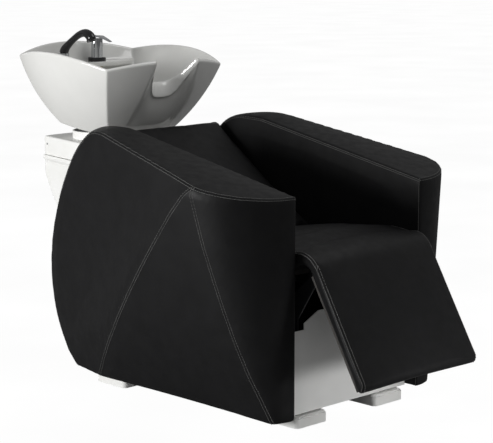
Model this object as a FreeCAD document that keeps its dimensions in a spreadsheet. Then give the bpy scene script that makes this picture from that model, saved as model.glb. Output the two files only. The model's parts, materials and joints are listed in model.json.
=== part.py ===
import FreeCAD
import Part
import Sketcher
import math
import os

from FreeCAD import Placement, Rotation, Vector

# Hair washing bed: an upholstered chair with a lifting leg rest and a tilting ceramic basin.
# The chair faces -Y, X runs across it and Z is up from the floor.
# A "run" is a distance back from the front of the arms.

SIZES = (
    # Upholstered body
    ("arm_front_y", -537.4, "front of the arms"),
    ("seat_width", 510, "clear width between the arms"),
    ("upholstery_gap", 0.4, "clear space between soft neighbours"),
    ("arm_bottom_height", 35.4, "underside of the arms above the floor"),
    ("arm_front_height", 652, "top of the arm at its front"),
    ("arm_back_height", 782, "top of the arm where it turns down"),
    ("arm_top_run", 645, "length of the arm's straight top"),
    ("arm_depth", 1029, "front of the arm to its rearmost point"),
    ("arm_flare", 226, "inner face to the widest corner"),
    ("flare_run", 165, "run of the widest corner"),
    ("flare_rise", 34, "widest corner above the arm's front top"),
    ("arm_toe_width", 70, "width of the arm at the floor"),
    ("arm_toe_run", 20, "run of the rounded toe"),
    ("arm_heel_run", 753, "run of the rear seam at the floor"),
    ("shoulder_width", 147, "arm width at the shoulder"),
    ("shoulder_run", 580, "run of the shoulder"),
    ("shoulder_drop", 12, "shoulder below the top of the turn"),
    ("arm_board_thickness", 12, "plywood closing the arm's underside"),
    ("arm_board_margin", 16, "leather turned in round that plywood"),
    # Seat
    ("seat_board_front_run", 104, "front of the plywood seat"),
    ("seat_split_run", 418, "where the seat meets the backrest"),
    ("seat_board_height", 413, "underside of the plywood at its front"),
    ("seat_board_drop", 36.7, "how far it falls to the rear"),
    ("board_thickness", 15, "plywood of seat and backrest"),
    ("board_margin", 14, "leather wrapped past the plywood"),
    ("seat_front_run", 36, "front lip of the seat cushion"),
    ("seat_front_drop", 4, "front lip below the highest line"),
    ("seat_top_run", 100, "run where the cushion is highest"),
    ("seat_top_height", 510, "cushion height there, at the sides"),
    ("seat_rear_fall", 41, "rear of the seat below that line"),
    ("seat_crown", 18, "how far the middle stands up"),
    ("cushion_side_draw", 5, "how far cushion sides are drawn in"),
    # Backrest
    ("back_rise", 294, "height gained up to the crest"),
    ("back_reach", 408, "length gone back up to the crest"),
    ("back_thickness", 80, "foam of the backrest"),
    ("back_board_start", -50, "lower end of the backrest board"),
    ("back_board_end", 440, "upper end of the backrest board"),
    ("back_crown", 8, "how far its middle stands up"),
    ("back_roll_radius", 30, "rounding over the crest"),
    ("shell_thickness", 14, "padded panel behind the chair"),
    ("shell_depth", 1052, "front of the arms to its rearmost point"),
    ("shell_top_lift", 10, "top edge of that panel above the column"),
    ("shell_top_run", 876, "run of that top edge"),
    ("shell_window_half_width", 50, "half the window for the mast"),
    ("shell_window_low", 436, "bottom of the window"),
    ("shell_window_high", 606, "top of the window"),
    # Leg rest
    ("knee_height", 433, "leg rest hinge above the floor"),
    ("knee_run", 0.5, "leg rest hinge back from the arm fronts"),
    ("leg_pad_inset", 10, "leg rest set in on each side"),
    ("leg_back_offset", 30, "hinge to the pad's flat back"),
    ("leg_face_offset", 72, "hinge to the pad's face at its edges"),
    ("leg_crown", 16, "how far the middle of the pad stands out"),
    ("leg_length", 354, "hinge to the pad's lower end"),
    ("leg_end_radius", 20, "rounding of the lower end"),
    ("leg_board_thickness", 12, "plywood in the leg rest"),
    ("leg_board_margin", 12, "leather wrapped past that plywood"),
    ("hinge_rod_radius", 8, "steel hinge rod"),
    ("hinge_play", 0.05, "radial play of turning metal parts"),
    ("hinge_tube_radius", 14, "tube of the leg rest frame"),
    ("bush_thickness", 2, "plastic bush in the hinge tube"),
    ("bush_length", 30, "length of that bush"),
    ("leg_arm_inset", 140, "side of the seat to each leg rest arm"),
    ("leg_arm_thickness", 6, "steel of the leg rest arms"),
    ("leg_arm_depth", 26, "depth of a leg rest arm at its root"),
    ("leg_arm_reach", 300, "hinge to the arm's end"),
    ("leg_arm_flange", 24, "width of the arm's screwed flange"),
    ("screw_radius", 3, "wood screws"),
    ("screw_head_radius", 6, "their hexagonal heads, to the corners"),
    ("screw_head_height", 2.5, "height of those heads"),
    ("screw_length", 9, "how far they bite"),
    # Steel chassis
    ("side_plate_inset", 70, "side of the seat to each side plate"),
    ("side_plate_thickness", 6, "laser cut steel"),
    ("hinge_eye_radius", 19, "eye round the hinge rod"),
    ("plate_front_run", 62, "front edge of the side plate"),
    ("plate_rear_run", 850, "rear edge of the side plate"),
    ("plate_neck_height", 300, "where the neck to the hinge begins"),
    ("plate_shoulder_run", 75, "corner of the plate behind the pad"),
    ("plate_shoulder_drop", 62, "that corner below the hinge"),
    ("plate_window_margin", 48, "metal left round the lightening window"),
    ("rail_width", 40, "floor rail tube, width"),
    ("rail_height", 30, "floor rail tube, height"),
    ("rail_inset", 90, "side of the seat to each floor rail"),
    ("rail_rear_run", 862, "rear end of the rails"),
    ("cross_tube", 30, "square cross tube"),
    ("cross_front_run", 92, "front cross tube"),
    ("cross_rear_run", 720, "rear cross tube"),
    ("tube_wall", 2.5, "wall of the steel tubes"),
    ("mast_tube_run", 800, "cross tube that carries the mast"),
    ("mast_tube_height", 380, "its middle above the floor"),
    # White front panel
    ("panel_thickness", 3, "folded sheet steel"),
    ("panel_run", 46, "face of the panel"),
    ("panel_side_gap", 1.5, "panel to the arm on each side"),
    ("panel_bottom", 37, "lower edge above the floor"),
    ("panel_height", 281, "height of the panel"),
    ("panel_step_drop", 46, "where the panel steps in, below its top"),
    ("panel_step_inset", 78, "side of the seat to the panel above the step"),
    ("panel_corner_drop", 28, "where the corners are cut off, below its top"),
    ("panel_top_inset", 134, "side of the seat to the upper edge"),
    # Feet
    ("foot_height", 35, "height of the feet"),
    ("foot_width", 125, "foot across the chair"),
    ("front_foot_inset", 93, "side of the seat to the middle of a front foot"),
    ("front_foot_run", 27, "front face of a front foot"),
    ("front_foot_length", 120, "front foot along the chair"),
    ("rear_foot_inset", 33, "side of the seat to the middle of a rear foot"),
    ("rear_foot_run", 684, "front face of a rear foot"),
    ("rear_foot_length", 130, "rear foot along the chair"),
    ("foot_radius", 14, "rounded upright corners"),
    ("foot_bevel", 6, "sloping upper edge"),
    ("foot_pad_height", 3, "rubber under each foot"),
    ("foot_pad_margin", 12, "rubber set in from the foot's edge"),
    # Column
    ("column_rear_run", 1290, "rear face of the column"),
    ("column_rear_half_width", 103, "half width at the rear"),
    ("column_splay", 0.2126, "widening per length towards the chair"),
    ("column_rear_bulge", 13, "crown of the rear face"),
    ("column_corner_radius", 16, "vertical corners"),
    ("column_edge_radius", 5, "rounded upper edge"),
    ("cover_wall", 3.5, "wall of the moulded covers"),
    ("cover_gap", 0.5, "cover to the chair's back panel"),
    ("cover_top", 704, "top of the upper cover"),
    ("upper_cover_height", 62, "height of the upper cover"),
    ("ledge_height", 13, "band at the top of the lower cover"),
    ("ledge_reach", 4, "how far the band stands out"),
    ("lower_face_height", 56, "where the lower cover turns forward, below the split"),
    ("lower_slope_rise", 190, "fall of its sloping underside"),
    ("lower_slope_reach", 212, "run of that underside"),
    ("lower_turn_reach", 42, "run of the turn"),
    ("lower_turn_drop", 60, "fall of the turn"),
    ("groove_drop", 25, "side groove below the top"),
    ("groove_width", 2.4, "width of the groove"),
    ("groove_depth", 1.4, "depth of the groove"),
    ("groove_length", 98, "length of the groove"),
    ("groove_inset", 44, "rear of the cover to the groove"),
    ("cover_screw_radius", 3.2, "round cover screws"),
    ("cover_screw_reach", 1.2, "how far they stand out"),
    ("cover_screw_bite", 2, "how far they sit in the cover"),
    ("cover_screw_inset", 26, "rear of the cover to the screws"),
    ("collar_run", 1108, "axis of the basin support"),
    ("collar_radius", 100, "white collar under the basin"),
    ("collar_height", 25, "height of the collar"),
    ("collar_wall", 5, "wall of the collar"),
    ("mast_width", 70, "box section of the mast, across"),
    ("mast_depth", 50, "box section of the mast, along"),
    ("mast_bend_height", 610, "where the mast turns upright"),
    ("head_plate_radius", 70, "round plate on the mast"),
    ("head_plate_thickness", 8, "its thickness"),
    # Tilting basin support
    ("tilt_rise", 34, "tilt axis above the column"),
    ("tilt_ahead", 30, "tilt axis in front of the collar's axis"),
    ("tilt_disc_lift", 17, "underside of the dark disc above the column"),
    ("tilt_post_radius", 30, "post under that disc"),
    ("tilt_disc_radius", 94.6, "dark disc in the collar"),
    ("tilt_disc_thickness", 4, "its thickness"),
    ("tilt_rod_radius", 6, "tilt axle"),
    ("tilt_ear_x", 34, "middle of each fixed ear"),
    ("tilt_ear_thickness", 8, "fixed ears"),
    ("tilt_ear_radius", 11, "round top of the ears"),
    ("cradle_ear_x", 46, "middle of each moving ear"),
    ("cradle_ear_thickness", 8, "moving ears"),
    ("cradle_radius", 60, "half the cradle plate under the basin"),
    ("cradle_corner", 30, "its corners cut off"),
    ("cradle_thickness", 5, "its thickness"),
    ("side_play", 1, "play between fixed and moving ears"),
    # Ceramic basin, measured from its middle
    ("basin_ahead", 98, "middle of the basin in front of the collar's axis"),
    ("basin_half_width", 235, "middle to the corners, across"),
    ("basin_rear", 225, "middle to the rear corners"),
    ("basin_front", 204, "middle to the front corners"),
    ("basin_side_bulge", 43, "swell of the sides"),
    ("basin_rear_bulge", 50, "swell of the rear"),
    ("rear_rim_height", 247, "rear corners above the front of its foot"),
    ("front_rim_height", 219, "front corners above the front of its foot"),
    ("basin_side_arch", 28, "arch of the side rims"),
    ("basin_rear_arch", 30, "arch of the rear rim"),
    ("lip_half_width", 86, "middle to each lip beside the neck rest"),
    ("lip_reach", 262, "how far forward the lips stand"),
    ("lip_rise", 21.5, "lips above the front corners"),
    ("neck_reach", 183, "how far forward the neck rest stands"),
    ("neck_drop", 73.5, "neck rest below the lips"),
    ("neck_lap", 30, "how far the neck rest rolls down on the outside"),
    ("rim_width", 14, "width of the rim"),
    ("lip_width", 20, "width of the rim at the lips"),
    ("neck_roll_width", 36, "width of the rolled neck rest"),
    ("base_front_half_width", 130, "foot of the basin, front"),
    ("base_rear_half_width", 170, "foot of the basin, rear"),
    ("base_front", 80, "middle to the foot's front"),
    ("base_rear", 105, "middle to the foot's rear corners"),
    ("base_rear_bulge", 30, "swell of the foot's rear"),
    ("base_side_bulge", 12, "swell of the foot's sides"),
    ("base_neck_half_width", 95, "foot below each lip"),
    ("base_neck_reach", 8, "foot below the neck rest"),
    ("basin_lift", 26.5, "front of the basin's foot above the column"),
    ("base_rise", 32, "rear of the basin's foot above its front"),
    ("wing_bulge", 5, "swell of the rim beside each lip"),
    ("wing_arch", 2, "how high its rim arches"),
    ("bowl_rear_swell", 40, "further swell of the rear wall behind the taps"),
    ("bowl_swell", 30, "outward swell of the bowl's wall"),
    ("bowl_floor", 22, "thickness of the floor and lower wall"),
    ("drain_radius", 22, "drain hole"),
    ("drain_front", 46, "drain in front of the basin's middle"),
    ("shelf_drop", 35, "tap shelf below the rear corners"),
    ("shelf_thickness", 16, "thickness of the shelf"),
    ("shelf_front", 158, "middle to the shelf's front edge"),
    # Taps and waste
    ("tap_back", 212, "line of the taps behind the basin's middle"),
    ("mixer_x", 70, "mixer to the right"),
    ("shower_x", -68, "hand shower to the left"),
    ("tap_hole_radius", 14, "holes in the shelf"),
    ("mixer_ring_radius", 28.7, "black ring under the mixer"),
    ("mixer_ring_height", 11, "its height"),
    ("mixer_radius", 18.9, "mixer body"),
    ("mixer_height", 55, "height of the mixer body above its ring"),
    ("shank_radius", 11, "threaded shanks below the shelf"),
    ("shank_length", 36, "length of a shank"),
    ("nut_radius", 19, "nuts under the shelf"),
    ("nut_height", 8, "their height"),
    ("cap_height", 7, "turning cap of the mixer"),
    ("cap_play", 0.5, "gap under the cap and beside the lever"),
    ("tongue_width", 8, "tongue that carries the lever"),
    ("tongue_length", 12, "its length"),
    ("tongue_height", 10.5, "its height"),
    ("pin_rise", 7, "lever pin above the cap"),
    ("pin_setback", 15, "lever pin behind the mixer's axis"),
    ("pin_length", 20, "lever pin"),
    ("lever_pin_radius", 2.5, "pivot pin of the lever"),
    ("lever_thickness", 7, "lever thickness"),
    ("lever_width", 30, "lever at its widest"),
    ("lever_length", 96, "lever from its rear end to its tip"),
    ("lever_overhang", 10, "lever behind its pin"),
    ("sleeve_radius", 14, "chrome sleeve of the hand shower"),
    ("sleeve_height", 30, "height of that sleeve"),
    ("sleeve_wall", 3, "its wall"),
    ("handle_radius", 11, "hand shower at the sleeve"),
    ("handle_head_radius", 15, "hand shower at its head"),
    ("handle_reach", 144, "how far forward the hand shower reaches"),
    ("handle_rise", 71, "how high it curves above its sleeve"),
    ("handle_root", 24, "depth of the hand shower in its sleeve"),
    ("spray_radius", 12, "spray face"),
    ("spray_height", 12, "its height"),
    ("strainer_radius", 30, "strainer flange"),
    ("strainer_thickness", 2, "its thickness"),
    ("strainer_slot_width", 4, "slots of the strainer"),
    ("strainer_slot_length", 20, "length of the middle slot"),
    ("waste_radius", 16, "waste pipe"),
    ("waste_wall", 1.5, "wall of the waste pipe"),
    ("waste_length", 52, "waste pipe below the basin"),
    ("waste_nut_radius", 27, "nut that holds the waste"),
    ("waste_nut_height", 10, "its height"),
    ("waste_clearance", 16, "room round the waste pipe in the cover"),
    ("overrun", 20, "how far cutters run past"),
)

# Outlines as shares of the depth and of the height, from the top of the rear down to the floor.
ARM_REAR_shares = (
    (0.671, 1.003),
    (0.714, 0.993),
    (0.753, 0.966),
    (0.807, 0.912),
    (0.847, 0.853),
    (0.906, 0.743),
    (0.949, 0.632),
    (0.980, 0.525),
    (1.000, 0.400),
    (0.996, 0.265),
    (0.975, 0.167),
    (0.934, 0.075),
    (0.865, 0.000),
)
SHELL_REAR_shares = (
    (0.861, 0.938),
    (0.922, 0.773),
    (0.979, 0.582),
    (1.000, 0.405),
    (0.979, 0.214),
    (0.927, 0.074),
    (0.861, 0.004),
)
# Quarter ellipse drawn as one cubic curve.
ELLIPSE_share = 0.5523
# Swell of a cushion along its length: share of the length, share of the crown.
CROWN_shares = ((0.0, 0.35), (0.08, 0.62), (0.25, 0.9), (0.5, 1.0), (0.75, 0.9), (0.92, 0.62), (1.0, 0.35))
# Powers that shape the neck rest between its lips, first for a wide bottom, then for rounded lips:
# how it steps back, how it falls and how far it rolls down on the outside.
NECK_BACK_powers = (3.4, 1.25)
NECK_FALL_powers = (4.2, 1.4)
NECK_LAP_power = 1.6
SIDE_STRIP_COUNT = 8
WING_STRIP_COUNT = 3
NECK_STRIP_COUNT = 10
ARM_STRIP_COUNT = 12
ARC_COUNT = 8
SHELF_HALVING_COUNT = 24
NUT_SIDE_COUNT = 6
CROWN_STRIP_COUNT = 6
LEG_SLOPE_degrees = 59.8
# Lever from its rear end: share of the length, share of the width, fall as a share of the thickness.
LEVER_shares = ((0.0, 0.75, 0.1), (0.3, 1.0, 0.0), (0.48, 0.9, 0.0), (0.75, 0.6, 1.0), (1.0, 0.4, 2.1))
# Hand shower from its sleeve: share of the reach, share of the rise, share of the swelling.
HANDLE_shares = (
    (0.00, 0.00, 0.0),
    (0.04, 0.17, 0.1),
    (0.14, 0.36, 0.2),
    (0.33, 0.63, 0.4),
    (0.57, 0.89, 0.7),
    (0.78, 0.97, 1.0),
    (0.92, 0.86, 1.0),
    (1.00, 0.70, 0.7),
)
HANDLE_SIDE_COUNT = 14
# Neck from the side plate to the hinge, as shares of the eye's radius.
NECK_shares = ((-0.84, -0.53), (0.26, 0.0), (1.22, -0.83))
BARREL_STRIP_COUNT = 10
BARREL_degrees = 125.0
BARREL_CROWN_share = 0.6
# Leg rest arm at its root as a share of the hinge tube's radius.
ARM_ROOT_share = 0.7
SCREW_PLACE_shares = (0.15, 0.85)
# Rolled rim: rise of its shoulder, inset of its shoulder and half its crest, as shares of its radius.
RIM_RISE_share = 0.6
RIM_INSET_share = 0.15
RIM_CREST_share = 0.45
LEVER_TAPER_share = 0.3
SPRAY_LEAN_share = 0.3
# How near two places count as one
CLOSE = 0.3

document = FreeCAD.newDocument("hair_washing_bed")
sheet = document.addObject("Spreadsheet::Sheet", "sizes")
for row, (alias, number, meaning) in enumerate(SIZES, start=1):
    sheet.set(f"A{row}", alias)
    sheet.set(f"B{row}", str(number))
    sheet.set(f"C{row}", meaning)
    sheet.setAlias(f"B{row}", alias)
document.recompute()


class Size:
    """A size from the sheet, or a sum of such sizes: its number and its formula."""

    def __init__(self, number, formula):
        self.number = float(number)
        self.formula = formula

    def __float__(self):
        return self.number

    def joined(self, other, sign, number):
        text = other.formula if isinstance(other, Size) else repr(other)
        return Size(number, f"({self.formula} {sign} {text})")

    def __add__(self, other):
        return self.joined(other, "+", self.number + float(other))

    def __sub__(self, other):
        return self.joined(other, "-", self.number - float(other))

    def __mul__(self, other):
        return self.joined(other, "*", self.number * float(other))

    def __truediv__(self, other):
        return self.joined(other, "/", self.number / float(other))

    def __neg__(self):
        return Size(-self.number, f"(0 - {self.formula})")

    __radd__ = __add__
    __rmul__ = __mul__

    def __rsub__(self, other):
        return -self + other


class Sheet:
    """Every size of the sheet as an attribute."""

    def __init__(self):
        for alias, number, meaning in SIZES:
            setattr(self, alias, Size(sheet.get(alias), f"sizes.{alias}"))


s = Sheet()
pieces = []

# Sizes that follow from others
inner_x = s.seat_width / 2
flare_height = s.arm_front_height + s.flare_rise
shoulder_height = s.arm_back_height - s.shoulder_drop
seat_front_height = s.seat_top_height - s.seat_front_drop
seat_rear_height = s.seat_top_height - s.seat_rear_fall
leg_pad_half_width = inner_x - s.leg_pad_inset
leg_arm_x = inner_x - s.leg_arm_inset
side_plate_x = inner_x - s.side_plate_inset
rail_x = inner_x - s.rail_inset
panel_top = s.panel_bottom + s.panel_height
front_foot_x = inner_x - s.front_foot_inset
rear_foot_x = inner_x - s.rear_foot_inset
shell_top_height = s.cover_top + s.shell_top_lift
cover_split = s.cover_top - s.upper_cover_height
lower_turn_height = cover_split - s.lower_face_height
tilt_height = s.cover_top + s.tilt_rise
tilt_run = s.collar_run - s.tilt_ahead
tilt_disc_height = s.cover_top + s.tilt_disc_lift
base_front_height = s.cover_top + s.basin_lift
base_rear_height = base_front_height + s.base_rise
basin_run = s.collar_run - s.basin_ahead
basin_rear_height = base_front_height + s.rear_rim_height
basin_front_height = base_front_height + s.front_rim_height
lip_height = basin_front_height + s.lip_rise
neck_height = lip_height - s.neck_drop
shelf_height = basin_rear_height - s.shelf_drop
tap_run = basin_run + s.tap_back


def keep(piece, label):
    """Names a finished piece after the file that it is written to."""
    piece.Label = label
    pieces.append(piece)
    return piece


def feature(label, shape):
    """A piece whose shape is worked out from the sheet."""
    piece = document.addObject("Part::Feature", label)
    piece.Shape = shape
    return keep(piece, label)


def bind(piece, **sizes):
    """Sets properties of a piece from the sheet."""
    for name, size in sizes.items():
        piece.setExpression(name, size.formula)


def place(piece, x, y, z):
    """Puts a piece at bound coordinates."""
    for axis, size in zip("xyz", (x, y, z)):
        if isinstance(size, Size):
            piece.setExpression(f"Placement.Base.{axis}", size.formula)


def point(x, y, z):
    return Vector(float(x), float(y), float(z))


def at_run(run):
    """World Y of a run."""
    return s.arm_front_y + run


# Flat pieces drawn as sketches and padded


def sketch_on(body, plane, offset=None):
    """An empty sketch on one of the body's planes, or parallel to it."""
    sketch = body.newObject("Sketcher::SketchObject", body.Name + "_outline")
    role = plane + "_Plane"
    sketch.AttachmentSupport = [part for part in body.Origin.OriginFeatures if part.Role == role][0]
    sketch.MapMode = "FlatFace"
    if offset is not None:
        sketch.AttachmentOffset = Placement(Vector(0, 0, float(offset)), Rotation())
        sketch.setExpression("AttachmentOffset.Base.z", offset.formula)
    return sketch


def hold(sketch, kind, first, second, size):
    """Holds a point at a bound distance from the sketch's origin."""
    number = sketch.addConstraint(Sketcher.Constraint(kind, -1, 1, first, second, float(size)))
    if isinstance(size, Size):
        sketch.setExpression(f"Constraints[{number}]", size.formula)


def polygon(body, plane, points, offset=None):
    """A closed outline with every corner held by the sheet."""
    sketch = sketch_on(body, plane, offset)
    corners = [point(u, v, 0) for u, v in points]
    count = len(corners)
    for index, corner in enumerate(corners):
        sketch.addGeometry(Part.LineSegment(corner, corners[(index + 1) % count]), False)
    for index in range(count):
        sketch.addConstraint(Sketcher.Constraint("Coincident", index, 2, (index + 1) % count, 1))
    for index, (u, v) in enumerate(points):
        hold(sketch, "DistanceX", index, 1, u)
        hold(sketch, "DistanceY", index, 1, v)
    return sketch


def circle(body, plane, u, v, radius, offset=None):
    """A circle with its middle and radius held by the sheet."""
    sketch = sketch_on(body, plane, offset)
    sketch.addGeometry(Part.Circle(point(u, v, 0), Vector(0, 0, 1), float(radius)), False)
    hold(sketch, "DistanceX", 0, 3, u)
    hold(sketch, "DistanceY", 0, 3, v)
    number = sketch.addConstraint(Sketcher.Constraint("Radius", 0, float(radius)))
    sketch.setExpression(f"Constraints[{number}]", radius.formula)
    return sketch


def pad(body, sketch, length, backwards=False):
    solid = body.newObject("PartDesign::Pad", body.Name + "_pad")
    solid.Profile = sketch
    solid.Length = float(length)
    solid.setExpression("Length", length.formula)
    solid.Reversed = backwards
    return solid


def pocket(body, sketch, length, backwards=False):
    hollow = body.newObject("PartDesign::Pocket", body.Name + "_pocket")
    hollow.Profile = sketch
    hollow.Length = float(length)
    hollow.setExpression("Length", length.formula)
    hollow.Reversed = backwards
    return hollow


def new_body(name):
    return document.addObject("PartDesign::Body", name)


def mirrored(label, piece):
    """The same piece on the other side of the chair."""
    copy = document.addObject("Part::Mirroring", label)
    copy.Source = piece
    copy.Normal = Vector(1, 0, 0)
    return copy


# Turned and square pieces and their sums

TURN = {
    "Z": Rotation(),
    "X": Rotation(Vector(0, 1, 0), 90),
    "Y": Rotation(Vector(1, 0, 0), -90),
}


def cylinder(name, radius, length, x, y, z, axis="Z"):
    piece = document.addObject("Part::Cylinder", name)
    piece.Placement = Placement(point(x, y, z), TURN[axis])
    bind(piece, Radius=radius, Height=length)
    place(piece, x, y, z)
    return piece


def box(name, width, depth, height, x, y, z):
    """A block from its lowest corner."""
    piece = document.addObject("Part::Box", name)
    piece.Placement = Placement(point(x, y, z), Rotation())
    bind(piece, Length=width, Width=depth, Height=height)
    place(piece, x, y, z)
    return piece


def hexagon(name, radius, length, x, y, z):
    """A hexagonal block, such as a nut, from its lower face."""
    piece = document.addObject("Part::Prism", name)
    piece.Polygon = NUT_SIDE_COUNT
    piece.Placement = Placement(point(x, y, z), Rotation())
    bind(piece, Circumradius=radius, Height=length)
    place(piece, x, y, z)
    return piece


def fused(label, *parts):
    sum_of = document.addObject("Part::MultiFuse", label)
    sum_of.Shapes = list(parts)
    return sum_of


def cut(label, base, *tools):
    tool = tools[0] if len(tools) == 1 else fused(label + "_tools", *tools)
    rest = document.addObject("Part::Cut", label)
    rest.Base = base
    rest.Tool = tool
    return rest


def group(label, *parts):
    together = document.addObject("Part::Compound", label)
    together.Links = list(parts)
    return together


def tube(name, radius, bore, length, x, y, z, axis="Z"):
    return cut(
        name,
        cylinder(name + "_outside", radius, length, x, y, z, axis),
        cylinder(name + "_bore", bore, length, x, y, z, axis),
    )


# Plain shapes for the forms that no sketch or primitive gives


def line(first, second):
    return Part.LineSegment(first, second).toShape()


def closed(points):
    """A closed wire through the corners."""
    return Part.Wire([line(a, b) for a, b in zip(points, points[1:] + points[:1])])


def curve_through(points):
    curve = Part.BSplineCurve()
    curve.interpolate(points)
    return curve


def as_arcs(curve, count=ARC_COUNT):
    """A curve drawn as that many arcs, one after the other."""
    span = (curve.LastParameter - curve.FirstParameter) / (count * 2)
    spots = [curve.value(curve.FirstParameter + span * index) for index in range(count * 2 + 1)]
    return [Part.Arc(*spots[index : index + 3]).toShape() for index in range(0, count * 2, 2)]


def bezier(poles):
    curve = Part.BezierCurve()
    curve.setPoles(poles)
    return curve


def lofted(sections):
    """A solid through flat sections joined by straight strips."""
    solid = Part.makeLoft(sections, True, True)
    if solid.Volume < 0:
        solid.reverse()
    return solid


def side_view(points):
    """A face in the plane of symmetry from run and height."""
    return Part.Face(closed([point(0, at_run(run), height) for run, height in points]))


def across(face, half_width):
    """Stretches a face of the plane of symmetry across the chair."""
    width = float(half_width)
    moved = face.copy()
    moved.translate(Vector(-width, 0, 0))
    return moved.extrude(Vector(width * 2, 0, 0))


def block(x_low, x_high, run_low, run_high, z_low, z_high):
    """A cutting block between runs and heights."""
    corner = point(x_low, at_run(run_low), z_low)
    return Part.makeBox(
        float(x_high) - float(x_low),
        float(run_high) - float(run_low),
        float(z_high) - float(z_low),
        corner,
    )


# Arms

arm_span = s.arm_back_height - s.arm_bottom_height


def arm_plan(height):
    """Outline of the arm seen from above at one height, with its rounded front corner."""
    share = float((height - s.arm_bottom_height) / (flare_height - s.arm_bottom_height))
    width = float(s.arm_toe_width) + (float(s.arm_flare) - float(s.arm_toe_width)) * share
    turn = float(s.arm_toe_run) + (float(s.flare_run) - float(s.arm_toe_run)) * share
    front = float(s.arm_front_y)
    inner = float(inner_x)
    rear = front + float(s.arm_depth) + float(s.overrun)
    z = float(height)
    start = Vector(inner, front, z)
    end = Vector(inner + width, front + turn, z)
    bend = bezier(
        [
            start,
            start + Vector(width * ELLIPSE_share, 0, 0),
            end - Vector(0, turn * ELLIPSE_share, 0),
            end,
        ]
    )
    corner_spots = [bend.value(index / ARM_STRIP_COUNT) for index in range(ARM_STRIP_COUNT + 1)]
    return closed(corner_spots + [Vector(inner + width, rear, z), Vector(inner, rear, z)])


def arm_side():
    """The arm seen from the side."""
    bottom_front = point(inner_x, s.arm_front_y, s.arm_bottom_height)
    top_front = point(inner_x, s.arm_front_y, s.arm_front_height)
    top_rear = point(inner_x, at_run(s.arm_top_run), s.arm_back_height)
    rear = [top_rear]
    for depth_share, height_share in ARM_REAR_shares:
        run = s.arm_depth * depth_share
        rear.append(point(inner_x, at_run(run), s.arm_bottom_height + arm_span * height_share))
    edges = [
        line(bottom_front, top_front),
        line(top_front, top_rear),
        *as_arcs(curve_through(rear)),
        line(rear[-1], bottom_front),
    ]
    return Part.Face(Part.Wire(edges))


def arm_outer_cut():
    """Everything beyond the flat rear part of the arm's outer side."""
    apex = point(inner_x + s.arm_flare, at_run(s.flare_run), flare_height)
    heel = point(inner_x + s.arm_toe_width, at_run(s.arm_heel_run), s.arm_bottom_height)
    shoulder = point(inner_x + s.shoulder_width, at_run(s.shoulder_run), shoulder_height)
    normal = (heel - apex).cross(shoulder - apex).normalize()
    if normal.x < 0:
        normal = normal * -1
    along = (heel - apex).normalize()
    aside = normal.cross(along)
    reach = float(s.arm_depth) * 2
    corners = [
        apex + along * reach + aside * reach,
        apex - along * reach + aside * reach,
        apex - along * reach - aside * reach,
        apex + along * reach - aside * reach,
    ]
    return Part.Face(closed(corners)).extrude(normal * reach)


arm = arm_side().extrude(Vector(float(s.arm_flare + s.overrun), 0, 0))
arm = arm.common(lofted([arm_plan(s.arm_bottom_height), arm_plan(s.arm_back_height + s.overrun)]))
arm = arm.cut(arm_outer_cut())
board_inner = inner_x + s.arm_board_margin
board_outer = inner_x + s.arm_toe_width - s.arm_board_margin
board_front = at_run(s.arm_toe_run + s.arm_board_margin)
board_heel = at_run(s.arm_heel_run)
board_rear = at_run(s.arm_depth * ARM_REAR_shares[-1][0] - s.arm_board_margin)
board_rear_outer = board_inner + s.arm_board_margin
arm_board = new_body("arm_board_right_body")
arm_board_outline = polygon(
    arm_board,
    "XY",
    [
        (board_inner, board_front),
        (board_outer - s.arm_board_margin, board_front),
        (board_outer, board_front + s.arm_toe_run),
        (board_outer, board_heel),
        (board_rear_outer, board_rear),
        (board_inner, board_rear),
    ],
    s.arm_bottom_height,
)
pad(arm_board, arm_board_outline, s.arm_board_thickness)
document.recompute()
arm = arm.cut(arm_board.Shape)
arm_right = feature("arm_right", arm)
keep(mirrored("arm_left", arm_right), "arm_left")
keep(arm_board, "arm_board_right")
keep(mirrored("arm_board_left", arm_board), "arm_board_left")

# Feet


def foot(label, x, run, length):
    """A moulded block with rounded corners and a sloping upper edge."""
    body = new_body(label + "_body")
    left = x - s.foot_width / 2
    right = x + s.foot_width / 2
    front = at_run(run)
    rear = at_run(run + length)
    outline = polygon(
        body,
        "XY",
        [(left, front), (right, front), (right, rear), (left, rear)],
        s.foot_pad_height,
    )
    solid = pad(body, outline, s.foot_height - s.foot_pad_height)
    document.recompute()
    low = float(s.foot_pad_height)
    upright = [f"Edge{n}" for n, edge in enumerate(solid.Shape.Edges, 1) if edge.BoundBox.ZLength > CLOSE]
    rounding = body.newObject("PartDesign::Fillet", label + "_rounding")
    rounding.Base = (solid, upright)
    rounding.Radius = float(s.foot_radius)
    rounding.setExpression("Radius", s.foot_radius.formula)
    document.recompute()
    upper = [
        f"Edge{n}"
        for n, edge in enumerate(rounding.Shape.Edges, 1)
        if edge.BoundBox.ZMin > low + CLOSE
    ]
    bevel = body.newObject("PartDesign::Chamfer", label + "_bevel")
    bevel.Base = (rounding, upper)
    bevel.Size = float(s.foot_bevel)
    bevel.setExpression("Size", s.foot_bevel.formula)
    return keep(body, label)


foot_front_right = foot("foot_front_right", front_foot_x, s.front_foot_run, s.front_foot_length)
foot_rear_right = foot("foot_rear_right", rear_foot_x, s.rear_foot_run, s.rear_foot_length)
keep(mirrored("foot_front_left", foot_front_right), "foot_front_left")
keep(mirrored("foot_rear_left", foot_rear_right), "foot_rear_left")


def foot_pad(name, x, run, length):
    margin = s.foot_pad_margin
    return box(
        name,
        s.foot_width - margin * 2,
        length - margin * 2,
        s.foot_pad_height,
        x - s.foot_width / 2 + margin,
        at_run(run) + margin,
        0,
    )


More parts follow.
